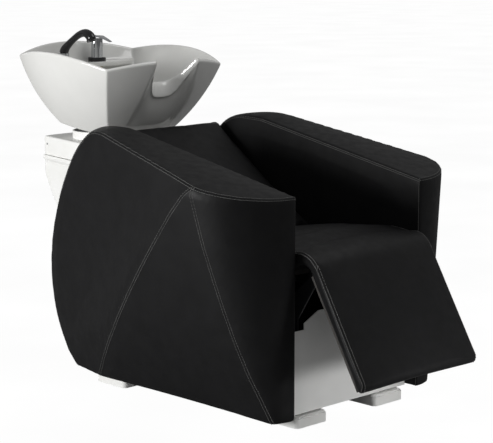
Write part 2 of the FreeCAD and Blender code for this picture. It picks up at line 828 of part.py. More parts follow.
pads = []
for name, x, run, length in (
    ("pad_front_right", front_foot_x, s.front_foot_run, s.front_foot_length),
    ("pad_rear_right", rear_foot_x, s.rear_foot_run, s.rear_foot_length),
    ("pad_front_left", -front_foot_x, s.front_foot_run, s.front_foot_length),
    ("pad_rear_left", -rear_foot_x, s.rear_foot_run, s.rear_foot_length),
):
    pads.append(foot_pad(name, x, run, length))
keep(group("foot_pads", *pads), "foot_pads")

# Chassis of welded tubes

rail_start = s.panel_run + s.panel_thickness


def square_tube(name, width, height, x_middle, run, z, length, along):
    """A tube with its low front corner given by its middle or by its start."""
    wall = s.tube_wall
    if along == "Y":
        x = x_middle - width / 2
        outside = box(name + "_outside", width, length, height, x, at_run(run), z)
        inside = box(
            name + "_inside",
            width - wall * 2,
            length,
            height - wall * 2,
            x + wall,
            at_run(run),
            z + wall,
        )
    else:
        y = at_run(run) - width / 2
        outside = box(name + "_outside", length, width, height, x_middle - length / 2, y, z)
        inside = box(
            name + "_inside",
            length,
            width - wall * 2,
            height - wall * 2,
            x_middle - length / 2,
            y + wall,
            z + wall,
        )
    return cut(name, outside, inside)


rail_length = s.rail_rear_run - rail_start
rails = [
    square_tube(
        "rail_right", s.rail_width, s.rail_height, rail_x, rail_start, s.foot_height, rail_length, "Y"
    ),
    square_tube(
        "rail_left", s.rail_width, s.rail_height, -rail_x, rail_start, s.foot_height, rail_length, "Y"
    ),
]
cross_height = s.foot_height + s.rail_height
cross_length = s.seat_width
crosses = []
for name, run in (("cross_front", s.cross_front_run), ("cross_rear", s.cross_rear_run)):
    crosses.append(
        square_tube(name, s.cross_tube, s.cross_tube, 0, run, cross_height, cross_length, "X")
    )
keep(fused("chassis", *rails, *crosses), "chassis")

# Boards of the seat and the backrest

back_length = math.hypot(float(s.back_reach), float(s.back_rise))
back_along = Vector(0, float(s.back_reach) / back_length, float(s.back_rise) / back_length)
back_out = Vector(0, -back_along.z, back_along.y)
back_root = point(0, at_run(s.seat_split_run), seat_rear_height)
back_share_y = s.back_reach / back_length
back_share_z = s.back_rise / back_length
seat_slope = s.seat_board_drop / (s.seat_split_run - s.seat_board_front_run)
seat_board_end = s.seat_split_run - s.upholstery_gap
seat_board_end_height = s.seat_board_height - s.seat_board_drop
board_half = inner_x - s.board_margin


def back_point(along, out):
    """Run and height of a point on the backrest, from its lower front edge."""
    run = s.seat_split_run + back_share_y * along - back_share_z * out
    height = seat_rear_height + back_share_z * along + back_share_y * out
    return run, height


board_back = -(s.back_thickness + s.board_thickness)
back_board_points = [
    back_point(s.back_board_start, board_back),
    back_point(s.back_board_end, board_back),
    back_point(s.back_board_end, -s.back_thickness),
    back_point(s.back_board_start, -s.back_thickness),
]
seat_board_points = [
    (s.seat_board_front_run, s.seat_board_height),
    (seat_board_end, seat_board_end_height),
    (seat_board_end, seat_board_end_height + s.board_thickness),
    (s.seat_board_front_run, s.seat_board_height + s.board_thickness),
]


def yz_plate(label, points, x_low, thickness):
    """A plate that lies in the chair's side view."""
    body = new_body(label + "_body")
    outline = polygon(body, "YZ", [(at_run(run), height) for run, height in points], x_low)
    pad(body, outline, thickness)
    return body


keep(yz_plate("seat_board", seat_board_points, -board_half, board_half * 2), "seat_board")
keep(yz_plate("backrest_board", back_board_points, -board_half, board_half * 2), "backrest_board")

# Side plates with the eye of the leg rest's hinge

plate_bottom = cross_height + s.cross_tube
plate_x = side_plate_x - s.side_plate_thickness / 2
neck = []
for run_share, height_share in NECK_shares:
    run = s.knee_run + s.hinge_eye_radius * run_share
    neck.append((run, s.knee_height + s.hinge_eye_radius * height_share))
side_points = [
    (s.plate_front_run, plate_bottom),
    (s.plate_front_run, s.plate_neck_height),
    neck[0],
    neck[1],
    neck[2],
    (s.plate_shoulder_run, s.knee_height - s.plate_shoulder_drop),
    seat_board_points[0],
    seat_board_points[1],
    back_board_points[0],
    back_board_points[1],
    (s.plate_rear_run, back_board_points[1][1]),
    (s.plate_rear_run, plate_bottom),
]
side_plate = yz_plate("side_plate_right", side_points, plate_x, s.side_plate_thickness)
knee_y = at_run(s.knee_run)
eye = circle(side_plate, "YZ", knee_y, s.knee_height, s.hinge_eye_radius, plate_x)
pad(side_plate, eye, s.side_plate_thickness)
margin = s.plate_window_margin
window_front = at_run(s.plate_front_run + margin)
window_rear = at_run(s.mast_tube_run - s.cross_tube - margin)
window_low = plate_bottom + margin
window = polygon(
    side_plate,
    "YZ",
    [
        (window_front, window_low),
        (window_rear, window_low),
        (window_rear, seat_rear_height),
        (at_run(s.seat_split_run), s.plate_neck_height),
        (window_front, s.plate_neck_height),
    ],
    plate_x,
)
pocket(side_plate, window, s.side_plate_thickness, True)
rod_hole = circle(side_plate, "YZ", knee_y, s.knee_height, s.hinge_rod_radius, plate_x)
pocket(side_plate, rod_hole, s.side_plate_thickness, True)
keep(side_plate, "side_plate_right")
keep(mirrored("side_plate_left", side_plate), "side_plate_left")

# White front panel

panel = new_body("front_panel_body")
panel_half = inner_x - s.panel_side_gap
panel_outline = polygon(
    panel,
    "XZ",
    [
        (-panel_half, s.panel_bottom),
        (panel_half, s.panel_bottom),
        (panel_half, panel_top - s.panel_step_drop),
        (inner_x - s.panel_step_inset, panel_top - s.panel_step_drop),
        (inner_x - s.panel_step_inset, panel_top - s.panel_corner_drop),
        (inner_x - s.panel_top_inset, panel_top),
        (s.panel_top_inset - inner_x, panel_top),
        (s.panel_step_inset - inner_x, panel_top - s.panel_corner_drop),
        (s.panel_step_inset - inner_x, panel_top - s.panel_step_drop),
        (-panel_half, panel_top - s.panel_step_drop),
    ],
    -at_run(s.panel_run),
)
pad(panel, panel_outline, s.panel_thickness, True)
keep(panel, "front_panel")

# Seat cushion


def foam_slice(origin, up, half, low, high, crown):
    """Section of a cushion across the chair, drawn in above and below."""

    def spot(x, out):
        return origin + Vector(x, 0, 0) + up * out

    draw = float(s.cushion_side_draw)
    waist = (low + high) / 2
    left = spot(-half + draw, high)
    right = spot(half - draw, high)
    crest = Part.Arc(left, spot(0, high + crown), right)
    span = (crest.LastParameter - crest.FirstParameter) / CROWN_STRIP_COUNT
    rim = [crest.value(crest.FirstParameter + span * index) for index in range(CROWN_STRIP_COUNT)]
    rim += [
        right,
        spot(half, waist),
        spot(half - draw, low),
        spot(-half + draw, low),
        spot(-half, waist),
    ]
    return closed(rim)


def share_between(share, table):
    """Reads a table of rising shares at one place."""
    for (first, low), (second, high) in zip(table, table[1:]):
        if share <= second:
            return low + (high - low) * (share - first) / (second - first)
    return table[-1][1]


gap = float(s.upholstery_gap)
cushion_half = float(inner_x) - gap
seat_front = float(s.seat_front_run)
seat_rear = float(s.seat_split_run) - gap
slices = []
for share, crown in CROWN_shares:
    run = seat_front + (seat_rear - seat_front) * share
    if run < float(s.seat_top_run):
        rise = (run - seat_front) / (float(s.seat_top_run) - seat_front)
        high = float(seat_front_height) + float(s.seat_top_height - seat_front_height) * rise
    else:
        fall = (run - float(s.seat_top_run)) / (seat_rear - float(s.seat_top_run))
        high = float(s.seat_top_height) + float(seat_rear_height - s.seat_top_height) * fall
    low = float(s.seat_board_height + s.board_thickness)
    low -= (run - float(s.seat_board_front_run)) * float(seat_slope)
    origin = point(0, at_run(run), 0)
    slices.append(foam_slice(origin, Vector(0, 0, 1), cushion_half, low, high, float(s.seat_crown) * crown))
seat = lofted(slices)
barrel_radius = float(s.leg_face_offset + s.leg_crown) + gap
knee = point(0, knee_y, s.knee_height)
knee_start = knee - Vector(float(inner_x), 0, 0)
barrel_space = Part.makeCylinder(barrel_radius, float(s.seat_width), knee_start, Vector(1, 0, 0))
seat = seat.cut(barrel_space)
feature("seat_cushion", seat)

# Backrest cushion with its roll over the crest

thick = float(s.back_thickness)
roll = float(s.back_roll_radius)
ROLL_START_share = 0.2
# Turns of the sections round a rolled edge
ROLL_degrees = (30, 60, 90)
roll_start = back_length - roll * ROLL_START_share
slices = []
start = float(s.back_board_start) - float(s.board_thickness)


def back_slice(along, high, crown):
    origin = back_root + back_along * along
    slices.append(foam_slice(origin, back_out, cushion_half, -thick, high, crown))


back_slice(start, 0.0, float(s.back_crown) * CROWN_shares[0][1])
for share, crown in CROWN_shares:
    back_slice(roll_start * share, 0.0, float(s.back_crown) * crown)
for turn in ROLL_degrees:
    lean = math.radians(turn)
    reach = roll_start + roll * math.sin(lean)
    back_slice(reach, roll * (math.cos(lean) - 1), float(s.back_crown) * CROWN_shares[-1][1])
backrest = lofted(slices)
far = s.arm_depth
split = s.seat_split_run + s.upholstery_gap
backrest = backrest.cut(block(-far, far, split - far, split, 0, s.arm_back_height))
corner_low = seat_board_end_height + s.upholstery_gap
backrest = backrest.cut(block(-far, far, split - far, split + s.board_thickness, 0, corner_low))
shell_face_run = s.shell_top_run - s.shell_thickness - s.upholstery_gap
ledge_top = shell_top_height + s.upholstery_gap
backrest = backrest.cut(block(-far, far, shell_face_run, shell_face_run + far, 0, ledge_top))
backrest = backrest.cut(block(-far, far, s.shell_top_run, s.shell_top_run + far, 0, basin_rear_height))
feature("backrest_cushion", backrest)

# Curved padded panel behind the chair

shell_span = shell_top_height - s.arm_bottom_height
shell_points = [point(0, at_run(s.shell_top_run), shell_top_height)]
for depth_share, height_share in SHELL_REAR_shares:
    height = s.arm_bottom_height + shell_span * height_share
    shell_points.append(point(0, at_run(s.shell_depth * depth_share), height))
shell_curve = curve_through(shell_points)


def beside_curve(curve, distance, count=16):
    """A curve at one distance in front of another, in the side view."""
    points = []
    for index in range(count + 1):
        place_on = curve.FirstParameter + (curve.LastParameter - curve.FirstParameter) * index / count
        spot = curve.value(place_on)
        along = curve.tangent(place_on)[0]
        points.append(spot + Vector(0, along.z, -along.y) * distance)
    return curve_through(points)


shell_inner = beside_curve(shell_curve, float(s.shell_thickness))
outer_start = shell_curve.value(shell_curve.FirstParameter)
outer_end = shell_curve.value(shell_curve.LastParameter)
inner_start = shell_inner.value(shell_inner.FirstParameter)
inner_end = shell_inner.value(shell_inner.LastParameter)
shell_ends = [line(outer_end, inner_end), line(inner_start, outer_start)]
shell_edges = as_arcs(shell_curve) + as_arcs(shell_inner) + shell_ends
shell_wire = Part.Wire(Part.sortEdges(shell_edges)[0])
shell = across(Part.Face(shell_wire), cushion_half)
shell_window = block(
    -s.shell_window_half_width,
    s.shell_window_half_width,
    s.shell_top_run,
    s.shell_depth + s.overrun,
    s.shell_window_low,
    s.shell_window_high,
)
shell = shell.cut(shell_window)
feature("back_shell", shell)

# Leg rest: padded board on a welded frame that turns on the hinge rod

leg_turn = Rotation(Vector(1, 0, 0), LEG_SLOPE_degrees - 90)
leg_place = Placement(knee, leg_turn)


def leg_slice(turn, along, high, low, crown):
    """Section of the leg pad, wrapped round the hinge by a turn or down the leg by a length."""
    lean = math.radians(turn)
    out = leg_turn.multVec(Vector(0, -math.cos(lean), math.sin(lean)))
    down = leg_turn.multVec(Vector(0, 0, -1))
    return foam_slice(knee + down * along, out, float(leg_pad_half_width), low, high, crown)


leg_low = float(s.leg_back_offset)
leg_high = float(s.leg_face_offset)
leg_crown = float(s.leg_crown)
slices = []
for index in range(BARREL_STRIP_COUNT):
    share = index / BARREL_STRIP_COUNT
    crown = leg_crown * (BARREL_CROWN_share + (1 - BARREL_CROWN_share) * share)
    slices.append(leg_slice(BARREL_degrees * (1 - share), 0.0, leg_high, leg_low, crown))
end_radius = float(s.leg_end_radius)
straight = float(s.leg_length) - end_radius
for share, crown in CROWN_shares:
    if share >= CROWN_shares[3][0]:
        along = straight * (share - CROWN_shares[3][0]) / (1 - CROWN_shares[3][0])
        slices.append(leg_slice(0.0, along, leg_high, leg_low, leg_crown * crown))
for turn in ROLL_degrees:
    lean = math.radians(turn)
    along = straight + end_radius * math.sin(lean)
    high = leg_high - end_radius * (1 - math.cos(lean))
    slices.append(leg_slice(0.0, along, high, leg_low, leg_crown * CROWN_shares[-1][1]))
leg_pad = lofted(slices)


def in_leg(shape):
    """Moves a shape drawn about the hinge, leg hanging straight down, to the leg's slope."""
    shape.Placement = leg_place.multiply(shape.Placement)
    return shape


board_half_leg = float(leg_pad_half_width - s.leg_board_margin)
board_low = float(s.leg_length - s.leg_board_margin)
leg_board = in_leg(
    Part.makeBox(
        board_half_leg * 2,
        float(s.leg_board_thickness),
        board_low - float(s.leg_board_margin),
        Vector(-board_half_leg, -leg_low - float(s.leg_board_thickness), -board_low),
    )
)
leg_pad = leg_pad.cut(leg_board)
feature("legrest_pad", leg_pad)
feature("legrest_board", leg_board)

arm_half = float(s.leg_arm_thickness) / 2
arm_reach = float(s.leg_arm_reach)
arm_depth = float(s.leg_arm_depth)
arm_tip = float(s.leg_arm_depth) / 2
tube_radius = float(s.hinge_tube_radius)
frame_parts = []
tube_half = float(plate_x) - float(s.side_play)
frame_parts.append(
    Part.makeCylinder(tube_radius, tube_half * 2, Vector(-tube_half, 0, 0), Vector(1, 0, 0))
)
screws = []
for side in (-1, 1):
    x = side * float(leg_arm_x)
    outline = [
        Vector(x - arm_half, tube_radius * ARM_ROOT_share, -tube_radius * ARM_ROOT_share),
        Vector(x - arm_half, -leg_low + arm_tip, -arm_reach),
        Vector(x - arm_half, -leg_low, -arm_reach),
        Vector(x - arm_half, -leg_low, -tube_radius),
        Vector(x - arm_half, -tube_radius * ARM_ROOT_share, tube_radius * ARM_ROOT_share),
    ]
    frame_parts.append(Part.Face(closed(outline)).extrude(Vector(arm_half * 2, 0, 0)))
    flange = float(s.leg_arm_flange)
    flange_x = x + arm_half if side > 0 else x - arm_half - flange
    flange_height = arm_reach - leg_low
    frame_parts.append(
        Part.makeBox(flange, arm_half, flange_height, Vector(flange_x, -leg_low, -arm_reach))
    )
    for share in SCREW_PLACE_shares:
        z = -arm_reach + flange_height * share
        head = Vector(flange_x + flange / 2, -leg_low + arm_half, z)
        radius = float(s.screw_radius)
        length = float(s.screw_length) + arm_half
        shank = Part.makeCylinder(radius, length, head, Vector(0, -1, 0))
        head_corners = []
        for index in range(NUT_SIDE_COUNT):
            angle = 2 * math.pi * index / NUT_SIDE_COUNT
            spread = float(s.screw_head_radius)
            head_corners.append(head + Vector(math.cos(angle) * spread, 0, math.sin(angle) * spread))
        cap = Part.Face(closed(head_corners)).extrude(Vector(0, float(s.screw_head_height), 0))
        screws.append(shank.fuse(cap))
frame = frame_parts[0].fuse(frame_parts[1:])
bore = float(s.hinge_rod_radius + s.hinge_play + s.bush_thickness)
frame = frame.cut(Part.makeCylinder(bore, tube_half * 2, Vector(-tube_half, 0, 0), Vector(1, 0, 0)))
screw_set = Part.Compound(screws)
frame = frame.cut(screw_set)
leg_board_feature = pieces[-1]
leg_board_feature.Shape = leg_board.cut(in_leg(screw_set.copy()))
feature("legrest_frame", in_leg(frame))
feature("legrest_screws", in_leg(screw_set))

play_radius = s.hinge_rod_radius + s.hinge_play
bushes = []
for side, start in (("right", plate_x - s.side_play - s.bush_length), ("left", s.side_play - plate_x)):
    bushes.append(
        tube(
            "bush_" + side,
            play_radius + s.bush_thickness,
            play_radius,
            s.bush_length,
            start,
            knee_y,
            s.knee_height,
            "X",
        )
    )
keep(group("hinge_bushes", *bushes), "hinge_bushes")
rod_half = side_plate_x + s.side_plate_thickness / 2
rod = cylinder("hinge_rod", s.hinge_rod_radius, rod_half * 2, -rod_half, knee_y, s.knee_height, "X")
keep(rod, "hinge_rod")

# Mast that carries the basin

mast_rod = square_tube(
    "mast_cross",
    s.cross_tube,
    s.cross_tube,
    0,
    s.mast_tube_run,
    s.mast_tube_height - s.cross_tube / 2,
    plate_x * 2,
    "X",
)
head_height = s.cover_top - s.cover_wall * 2 - s.head_plate_thickness
mast_slant = math.atan2(
    float(s.mast_bend_height - s.mast_tube_height), float(s.collar_run - s.mast_tube_run)
)
mast_half = s.mast_depth / 2
slant_drop = mast_half / math.cos(mast_slant)
bend_back = mast_half * math.tan((math.pi / 2 - mast_slant) / 2)
mast_body = new_body("mast_box")
mast_points = [
    (s.mast_tube_run, s.mast_tube_height + slant_drop),
    (s.mast_tube_run, s.mast_tube_height - slant_drop),
    (s.collar_run + mast_half, s.mast_bend_height - bend_back),
    (s.collar_run + mast_half, head_height),
    (s.collar_run - mast_half, head_height),
    (s.collar_run - mast_half, s.mast_bend_height + bend_back),
]
mast_outline = polygon(
    mast_body, "YZ", [(at_run(run), height) for run, height in mast_points], -s.mast_width / 2
)
pad(mast_body, mast_outline, s.mast_width)
head_plate = cylinder(
    "head_plate",
    s.head_plate_radius,
    s.head_plate_thickness,
    0,
    at_run(s.collar_run),
    head_height,
)
mast = fused("mast", mast_rod, mast_body, head_plate)
keep(mast, "mast")

# Moulded covers of the column


def column_plan(height, inset):
    """Outline of the column from above, splayed towards the chair, crowned at the rear."""
    rear_half = float(s.column_rear_half_width) - inset
    front_half = rear_half + float(s.column_splay * (s.column_rear_run - s.shell_top_run + s.overrun))
    rear = float(at_run(s.column_rear_run)) - inset
    front = float(at_run(s.shell_top_run - s.overrun))
    z = float(height)
    crown = Vector(0, rear + float(s.column_rear_bulge), z)
    right = Vector(rear_half, rear, z)
    left = Vector(-rear_half, rear, z)
    front_right = Vector(front_half, front, z)
    front_left = Vector(-front_half, front, z)
    back = Part.Arc(left, crown, right).toShape()
    return Part.Face(
        Part.Wire([back, line(right, front_right), line(front_right, front_left), line(front_left, left)])
    )


def column_block(low, high, inset, radius):
    """The column between two heights with rounded vertical corners."""
    solid = column_plan(low, inset).extrude(Vector(0, 0, float(high) - float(low)))
    rear = float(at_run(s.column_rear_run)) - inset
    corners = []
    for edge in solid.Edges:
        upright = abs(edge.BoundBox.ZLength - (float(high) - float(low))) < CLOSE
        if upright and abs(edge.BoundBox.YMax - rear) < CLOSE and edge.BoundBox.XLength < CLOSE:
            corners.append(edge)
    return solid.makeFillet(radius, corners)


wall = float(s.cover_wall)
corner = float(s.column_corner_radius)
curve_ahead = shell_curve.copy()
curve_ahead.translate(Vector(0, float(s.cover_gap), 0))
ahead_start = curve_ahead.value(curve_ahead.FirstParameter)
ahead_end = curve_ahead.value(curve_ahead.LastParameter)
clear_start = Vector(0, ahead_start.y - float(far), ahead_start.z)
clear_end = Vector(0, ahead_start.y - float(far), ahead_end.z)
chair_wire = Part.Wire(
    [
        *as_arcs(curve_ahead),
        line(ahead_end, clear_end),
        line(clear_end, clear_start),
        line(clear_start, ahead_start),
    ]
)
chair_space = across(Part.Face(chair_wire), inner_x)

upper = column_block(cover_split, s.cover_top, 0.0, corner)
top_edges = []
for edge in upper.Edges:
    flat_top = edge.BoundBox.ZMin > float(s.cover_top) - CLOSE
    if flat_top and edge.BoundBox.YMax > float(at_run(s.shell_top_run)):
        top_edges.append(edge)
upper = upper.makeFillet(float(s.column_edge_radius), top_edges)
upper = upper.cut(column_block(cover_split - s.overrun, s.cover_top - s.cover_wall, wall, corner - wall))
upper = upper.cut(chair_space)
post = point(0, at_run(s.collar_run), cover_split)
post_radius = float(s.tilt_post_radius) + wall
upper = upper.cut(Part.makeCylinder(post_radius, float(s.cover_top), post))
foot_slope = math.atan2(
    float(base_rear_height - base_front_height), float(s.base_front + s.base_rear)
)
drain_run = basin_run - s.drain_front
drain_height = float(base_front_height) + float(s.base_front - s.drain_front) * math.tan(foot_slope)
drain = Vector(0, float(at_run(drain_run)), drain_height)
foot_turn = Rotation(Vector(1, 0, 0), math.degrees(foot_slope))
foot_up = foot_turn.multVec(Vector(0, 0, 1))
pipe_at_cover = drain.y + (drain_height - float(s.cover_top)) * math.tan(foot_slope)
pipe_space = float(s.waste_radius + s.waste_clearance)
upper = upper.cut(
    Part.makeCylinder(pipe_space, float(s.cover_top), Vector(0, pipe_at_cover, float(cover_split)))
)
splay = math.atan(float(s.column_splay))
cover_screws = []
grooves = []
for side in (-1, 1):
    z = float(s.cover_top - s.groove_drop)
    corner_spot = Vector(side * float(s.column_rear_half_width), float(at_run(s.column_rear_run)), z)
    forward = Vector(side * math.sin(splay), -math.cos(splay), 0)
    outward = Vector(side * math.cos(splay), math.sin(splay), 0)
    half = Vector(0, 0, float(s.groove_width) / 2)
    start = corner_spot + forward * float(s.groove_inset)
    end = start + forward * float(s.groove_length)
    depth = float(s.groove_depth)
    face = Part.Face(
        closed(
            [
                start + half - outward * depth,
                end + half - outward * depth,
                end - half - outward * depth,
                start - half - outward * depth,
            ]
        )
    )
    grooves.append(face.extrude(outward * (depth * 2)))
    screw_spot = corner_spot + forward * float(s.cover_screw_inset) - outward * float(s.cover_screw_bite)
    screw_length = float(s.cover_screw_bite + s.cover_screw_reach)
    cover_screws.append(Part.makeCylinder(float(s.cover_screw_radius), screw_length, screw_spot, outward))
for groove in grooves:
    upper = upper.cut(groove)
for screw in cover_screws:
    upper = upper.cut(screw)
feature("column_cover_upper", upper)
feature("cover_screws", Part.Compound(cover_screws))

turn_run = s.column_rear_run - s.lower_turn_reach - s.ledge_height
column_side = [
    (s.shell_top_run, cover_split),
    (s.column_rear_run + s.column_rear_bulge, cover_split),
    (s.column_rear_run + s.column_rear_bulge, cover_split - s.ledge_height),
    (s.column_rear_run, lower_turn_height),
    (s.column_rear_run - s.lower_turn_reach / 2, lower_turn_height - s.lower_turn_drop / 2),
    (turn_run, lower_turn_height - s.lower_turn_drop - s.ledge_height),
    (
        turn_run - s.lower_slope_reach,
        lower_turn_height - s.lower_turn_drop - s.ledge_height - s.lower_slope_rise,
    ),
    (s.shell_top_run, lower_turn_height - s.lower_turn_drop - s.ledge_height - s.lower_slope_rise),
]
column_profile = across(side_view(column_side), inner_x)
column_low = lower_turn_height - s.lower_turn_drop - s.ledge_height - s.lower_slope_rise - s.overrun
lower = column_block(column_low, cover_split, 0.0, corner).common(column_profile)
band = column_block(cover_split - s.ledge_height, cover_split, -float(s.ledge_reach), corner)
lower = lower.fuse(band)
hollow_profile = column_profile.copy()
hollow_profile.translate(Vector(0, -wall, wall))
hollow = column_block(column_low, cover_split + s.overrun, wall, corner - wall).common(hollow_profile)
lower = lower.cut(hollow)
lower = lower.cut(chair_space)
feature("column_cover_lower", lower)

# White collar and the dark tilting support inside it

collar_y = at_run(s.collar_run)
collar = tube(
    "collar",
    s.collar_radius,
    s.collar_radius - s.collar_wall,
    s.collar_height,
    0,
    collar_y,
    s.cover_top,
)
keep(collar, "collar")
tilt_y = at_run(tilt_run)
disc = cylinder("tilt_disc", s.tilt_disc_radius, s.tilt_disc_thickness, 0, collar_y, tilt_disc_height)
tilt_post = cylinder(
    "tilt_post",
    s.tilt_post_radius,
    tilt_disc_height - head_height - s.head_plate_thickness,
    0,
    collar_y,
    head_height + s.head_plate_thickness,
)
ears = []
ear_bottom = tilt_disc_height + s.tilt_disc_thickness
for side, x in (("right", s.tilt_ear_x), ("left", -s.tilt_ear_x)):
    low_x = x - s.tilt_ear_thickness / 2
    ears.append(
        cylinder(
            "ear_top_" + side, s.tilt_ear_radius, s.tilt_ear_thickness, low_x, tilt_y, tilt_height, "X"
        )
    )
    ears.append(
        box(
            "ear_" + side,
            s.tilt_ear_thickness,
            s.tilt_ear_radius * 2,
            tilt_height - ear_bottom,
            low_x,
            tilt_y - s.tilt_ear_radius,
            ear_bottom,
        )
    )
tilt_half = s.cradle_ear_x + s.cradle_ear_thickness
ear_bore = cylinder("ear_bore", s.tilt_rod_radius, tilt_half * 2, -tilt_half, tilt_y, tilt_height, "X")
support = cut("tilt_support", fused("tilt_support_solid", disc, tilt_post, *ears), ear_bore)
keep(support, "tilt_support")
axle = cylinder("tilt_axle", s.tilt_rod_radius, tilt_half * 2, -tilt_half, tilt_y, tilt_height, "X")
keep(axle, "tilt_axle")

tilt_point = point(0, tilt_y, tilt_height)
foot_height_at_tilt = float(base_front_height) + (
    float(tilt_run - basin_run + s.base_front) * math.tan(foot_slope)
)
plate_top = (foot_height_at_tilt - float(tilt_height)) * math.cos(foot_slope)
plate_under = plate_top - float(s.cradle_thickness)
plate_half = float(s.cradle_radius)
plate_cut = float(s.cradle_corner)
cradle_corners = [
    Vector(-plate_half + plate_cut, -plate_half, plate_under),
    Vector(plate_half - plate_cut, -plate_half, plate_under),
    Vector(plate_half, -plate_half + plate_cut, plate_under),
    Vector(plate_half, plate_half - plate_cut, plate_under),
    Vector(plate_half - plate_cut, plate_half, plate_under),
    Vector(-plate_half + plate_cut, plate_half, plate_under),
    Vector(-plate_half, plate_half - plate_cut, plate_under),
    Vector(-plate_half, -plate_half + plate_cut, plate_under),
]
cradle = Part.Face(closed(cradle_corners)).extrude(Vector(0, 0, float(s.cradle_thickness)))
ear_radius = float(s.tilt_ear_radius)
for side in (-1, 1):
    low_x = side * float(s.cradle_ear_x) - float(s.cradle_ear_thickness) / 2
    thickness = float(s.cradle_ear_thickness)
    round_part = Part.makeCylinder(ear_radius, thickness, Vector(low_x, 0, 0), Vector(1, 0, 0))
    arm_part = Part.makeBox(thickness, ear_radius * 2, plate_under, Vector(low_x, -ear_radius, 0))
    cradle = cradle.fuse([round_part, arm_part])
bore_radius = float(s.tilt_rod_radius + s.hinge_play)
bore_start = Vector(-float(tilt_half), 0, 0)
cradle = cradle.cut(Part.makeCylinder(bore_radius, float(tilt_half) * 2, bore_start, Vector(1, 0, 0)))
cradle.Placement = Placement(tilt_point, foot_turn)
feature("basin_cradle", cradle)

# Ceramic basin with its rolled neck rest, about its own middle

front_corner = Vector(float(s.basin_half_width), -float(s.basin_front), float(basin_front_height))
rear_corner = Vector(float(s.basin_half_width), float(s.basin_rear), float(basin_rear_height))
lip = Vector(float(s.lip_half_width), -float(s.lip_reach), float(lip_height))
neck_low = Vector(0, -float(s.neck_reach), float(neck_height))
base_front_y = -float(s.base_front)
base_neck_y = base_front_y - float(s.base_neck_reach)


def swell(t):
    """Nothing at both ends, one in the middle."""
    return 4 * t * (1 - t)


def right_side(t):
    rim = front_corner + (rear_corner - front_corner) * t
    rim += Vector(float(s.basin_side_bulge), 0, float(s.basin_side_arch)) * swell(t)
    base_x = float(s.base_front_half_width) * (1 - t) + float(s.base_rear_half_width) * t
    base_x += float(s.base_side_bulge) * swell(t)
    base = (base_x, base_front_y + float(s.base_front + s.base_rear) * t)
    return rim, base, float(s.rim_width), 0.0, 0.0


def rear_side(t):
    across_share = 1 - 2 * t
    rim = Vector(rear_corner.x * across_share, rear_corner.y, rear_corner.z)
    rim += Vector(0, float(s.basin_rear_bulge), float(s.basin_rear_arch)) * swell(t)
    base = (
        float(s.base_rear_half_width) * across_share,
        float(s.base_rear) + float(s.base_rear_bulge) * swell(t),
    )
    return rim, base, float(s.rim_width), float(s.bowl_rear_swell) * swell(t), 0.0


def left_wing(t):
    start = Vector(-front_corner.x, front_corner.y, front_corner.z)
    rim = start + (Vector(-lip.x, lip.y, lip.z) - start) * t
    rim += Vector(0, -float(s.wing_bulge), float(s.wing_arch)) * swell(t)
    base_x = -float(s.base_front_half_width) * (1 - t) - float(s.base_neck_half_width) * t
    width = float(s.rim_width) + float(s.lip_width - s.rim_width) * t * t
    return rim, (base_x, base_front_y + (base_neck_y - base_front_y) * t), width, 0.0, 0.0


def neck_side(t):
    across_share = 1 - 2 * t
    away = abs(across_share)
    back = (1 - away ** NECK_BACK_powers[0]) ** NECK_BACK_powers[1]
    fall = (1 - away ** NECK_FALL_powers[0]) ** NECK_FALL_powers[1]
    rim = Vector(-lip.x * across_share, lip.y, lip.z)
    rim += Vector(0, (neck_low.y - lip.y) * back, (neck_low.z - lip.z) * fall)
    width = float(s.lip_width) + float(s.neck_roll_width - s.lip_width) * back
    base = (-float(s.base_neck_half_width) * across_share, base_neck_y)
    return rim, base, width, 0.0, float(s.neck_lap) * fall**NECK_LAP_power


def flipped(side):
    """The same part of the rim on the other side."""

    def other(t):
        rim, (base_x, base_y), width, extra, lap = side(t)
        return Vector(-rim.x, rim.y, rim.z), (-base_x, base_y), width, extra, lap

    return other


def base_height(y):
    """Height of the basin's sloping foot."""
    return float(base_front_height) + (y - base_front_y) * math.tan(foot_slope)


def wall_section(rim, base_place, width, extra, lap):
    """Outer curve, rolled rim and inner curve of the wall at one place."""
    radius = width / 2
    floor = float(s.bowl_floor)
    out = Vector(rim.x, rim.y, 0).normalize()
    top = rim - Vector(0, 0, radius + lap)
    base = Vector(base_place[0], base_place[1], base_height(base_place[1]))
    chord = top - base
    down = Vector(out.x * chord.z, out.y * chord.z, -(chord.x * out.x + chord.y * out.y)).normalize()
    pull = (top + base) * 0.5 + down * (float(s.bowl_swell) + extra)
    inner = top - out * width + Vector(0, 0, lap)
    inner_base = base - out * floor
    inner_base.z = base_height(inner_base.y) + floor
    inner_pull = pull - out * floor + Vector(0, 0, float(s.rim_width))
    middle_of_rim = rim - out * radius
    rise = Vector(0, 0, radius * RIM_RISE_share)
    corners = [
        top,
        top + rise + Vector(0, 0, lap) - out * (radius * RIM_INSET_share),
        middle_of_rim + out * (radius * RIM_CREST_share),
        middle_of_rim - out * (radius * RIM_CREST_share),
        inner + rise + out * (radius * RIM_INSET_share),
        inner,
    ]
    return bezier([base, pull, top]), corners, bezier([inner, inner_pull, inner_base]), out


def wall_wire(side, t):
    outer, corners, inside, out = wall_section(*side(t))
    rolled = [line(a, b) for a, b in zip(corners, corners[1:])]
    return Part.Wire([outer.toShape()] + rolled + [inside.toShape()])


def wall_strip(side, count):
    return Part.makeLoft([wall_wire(side, index / count) for index in range(count + 1)], False, True)


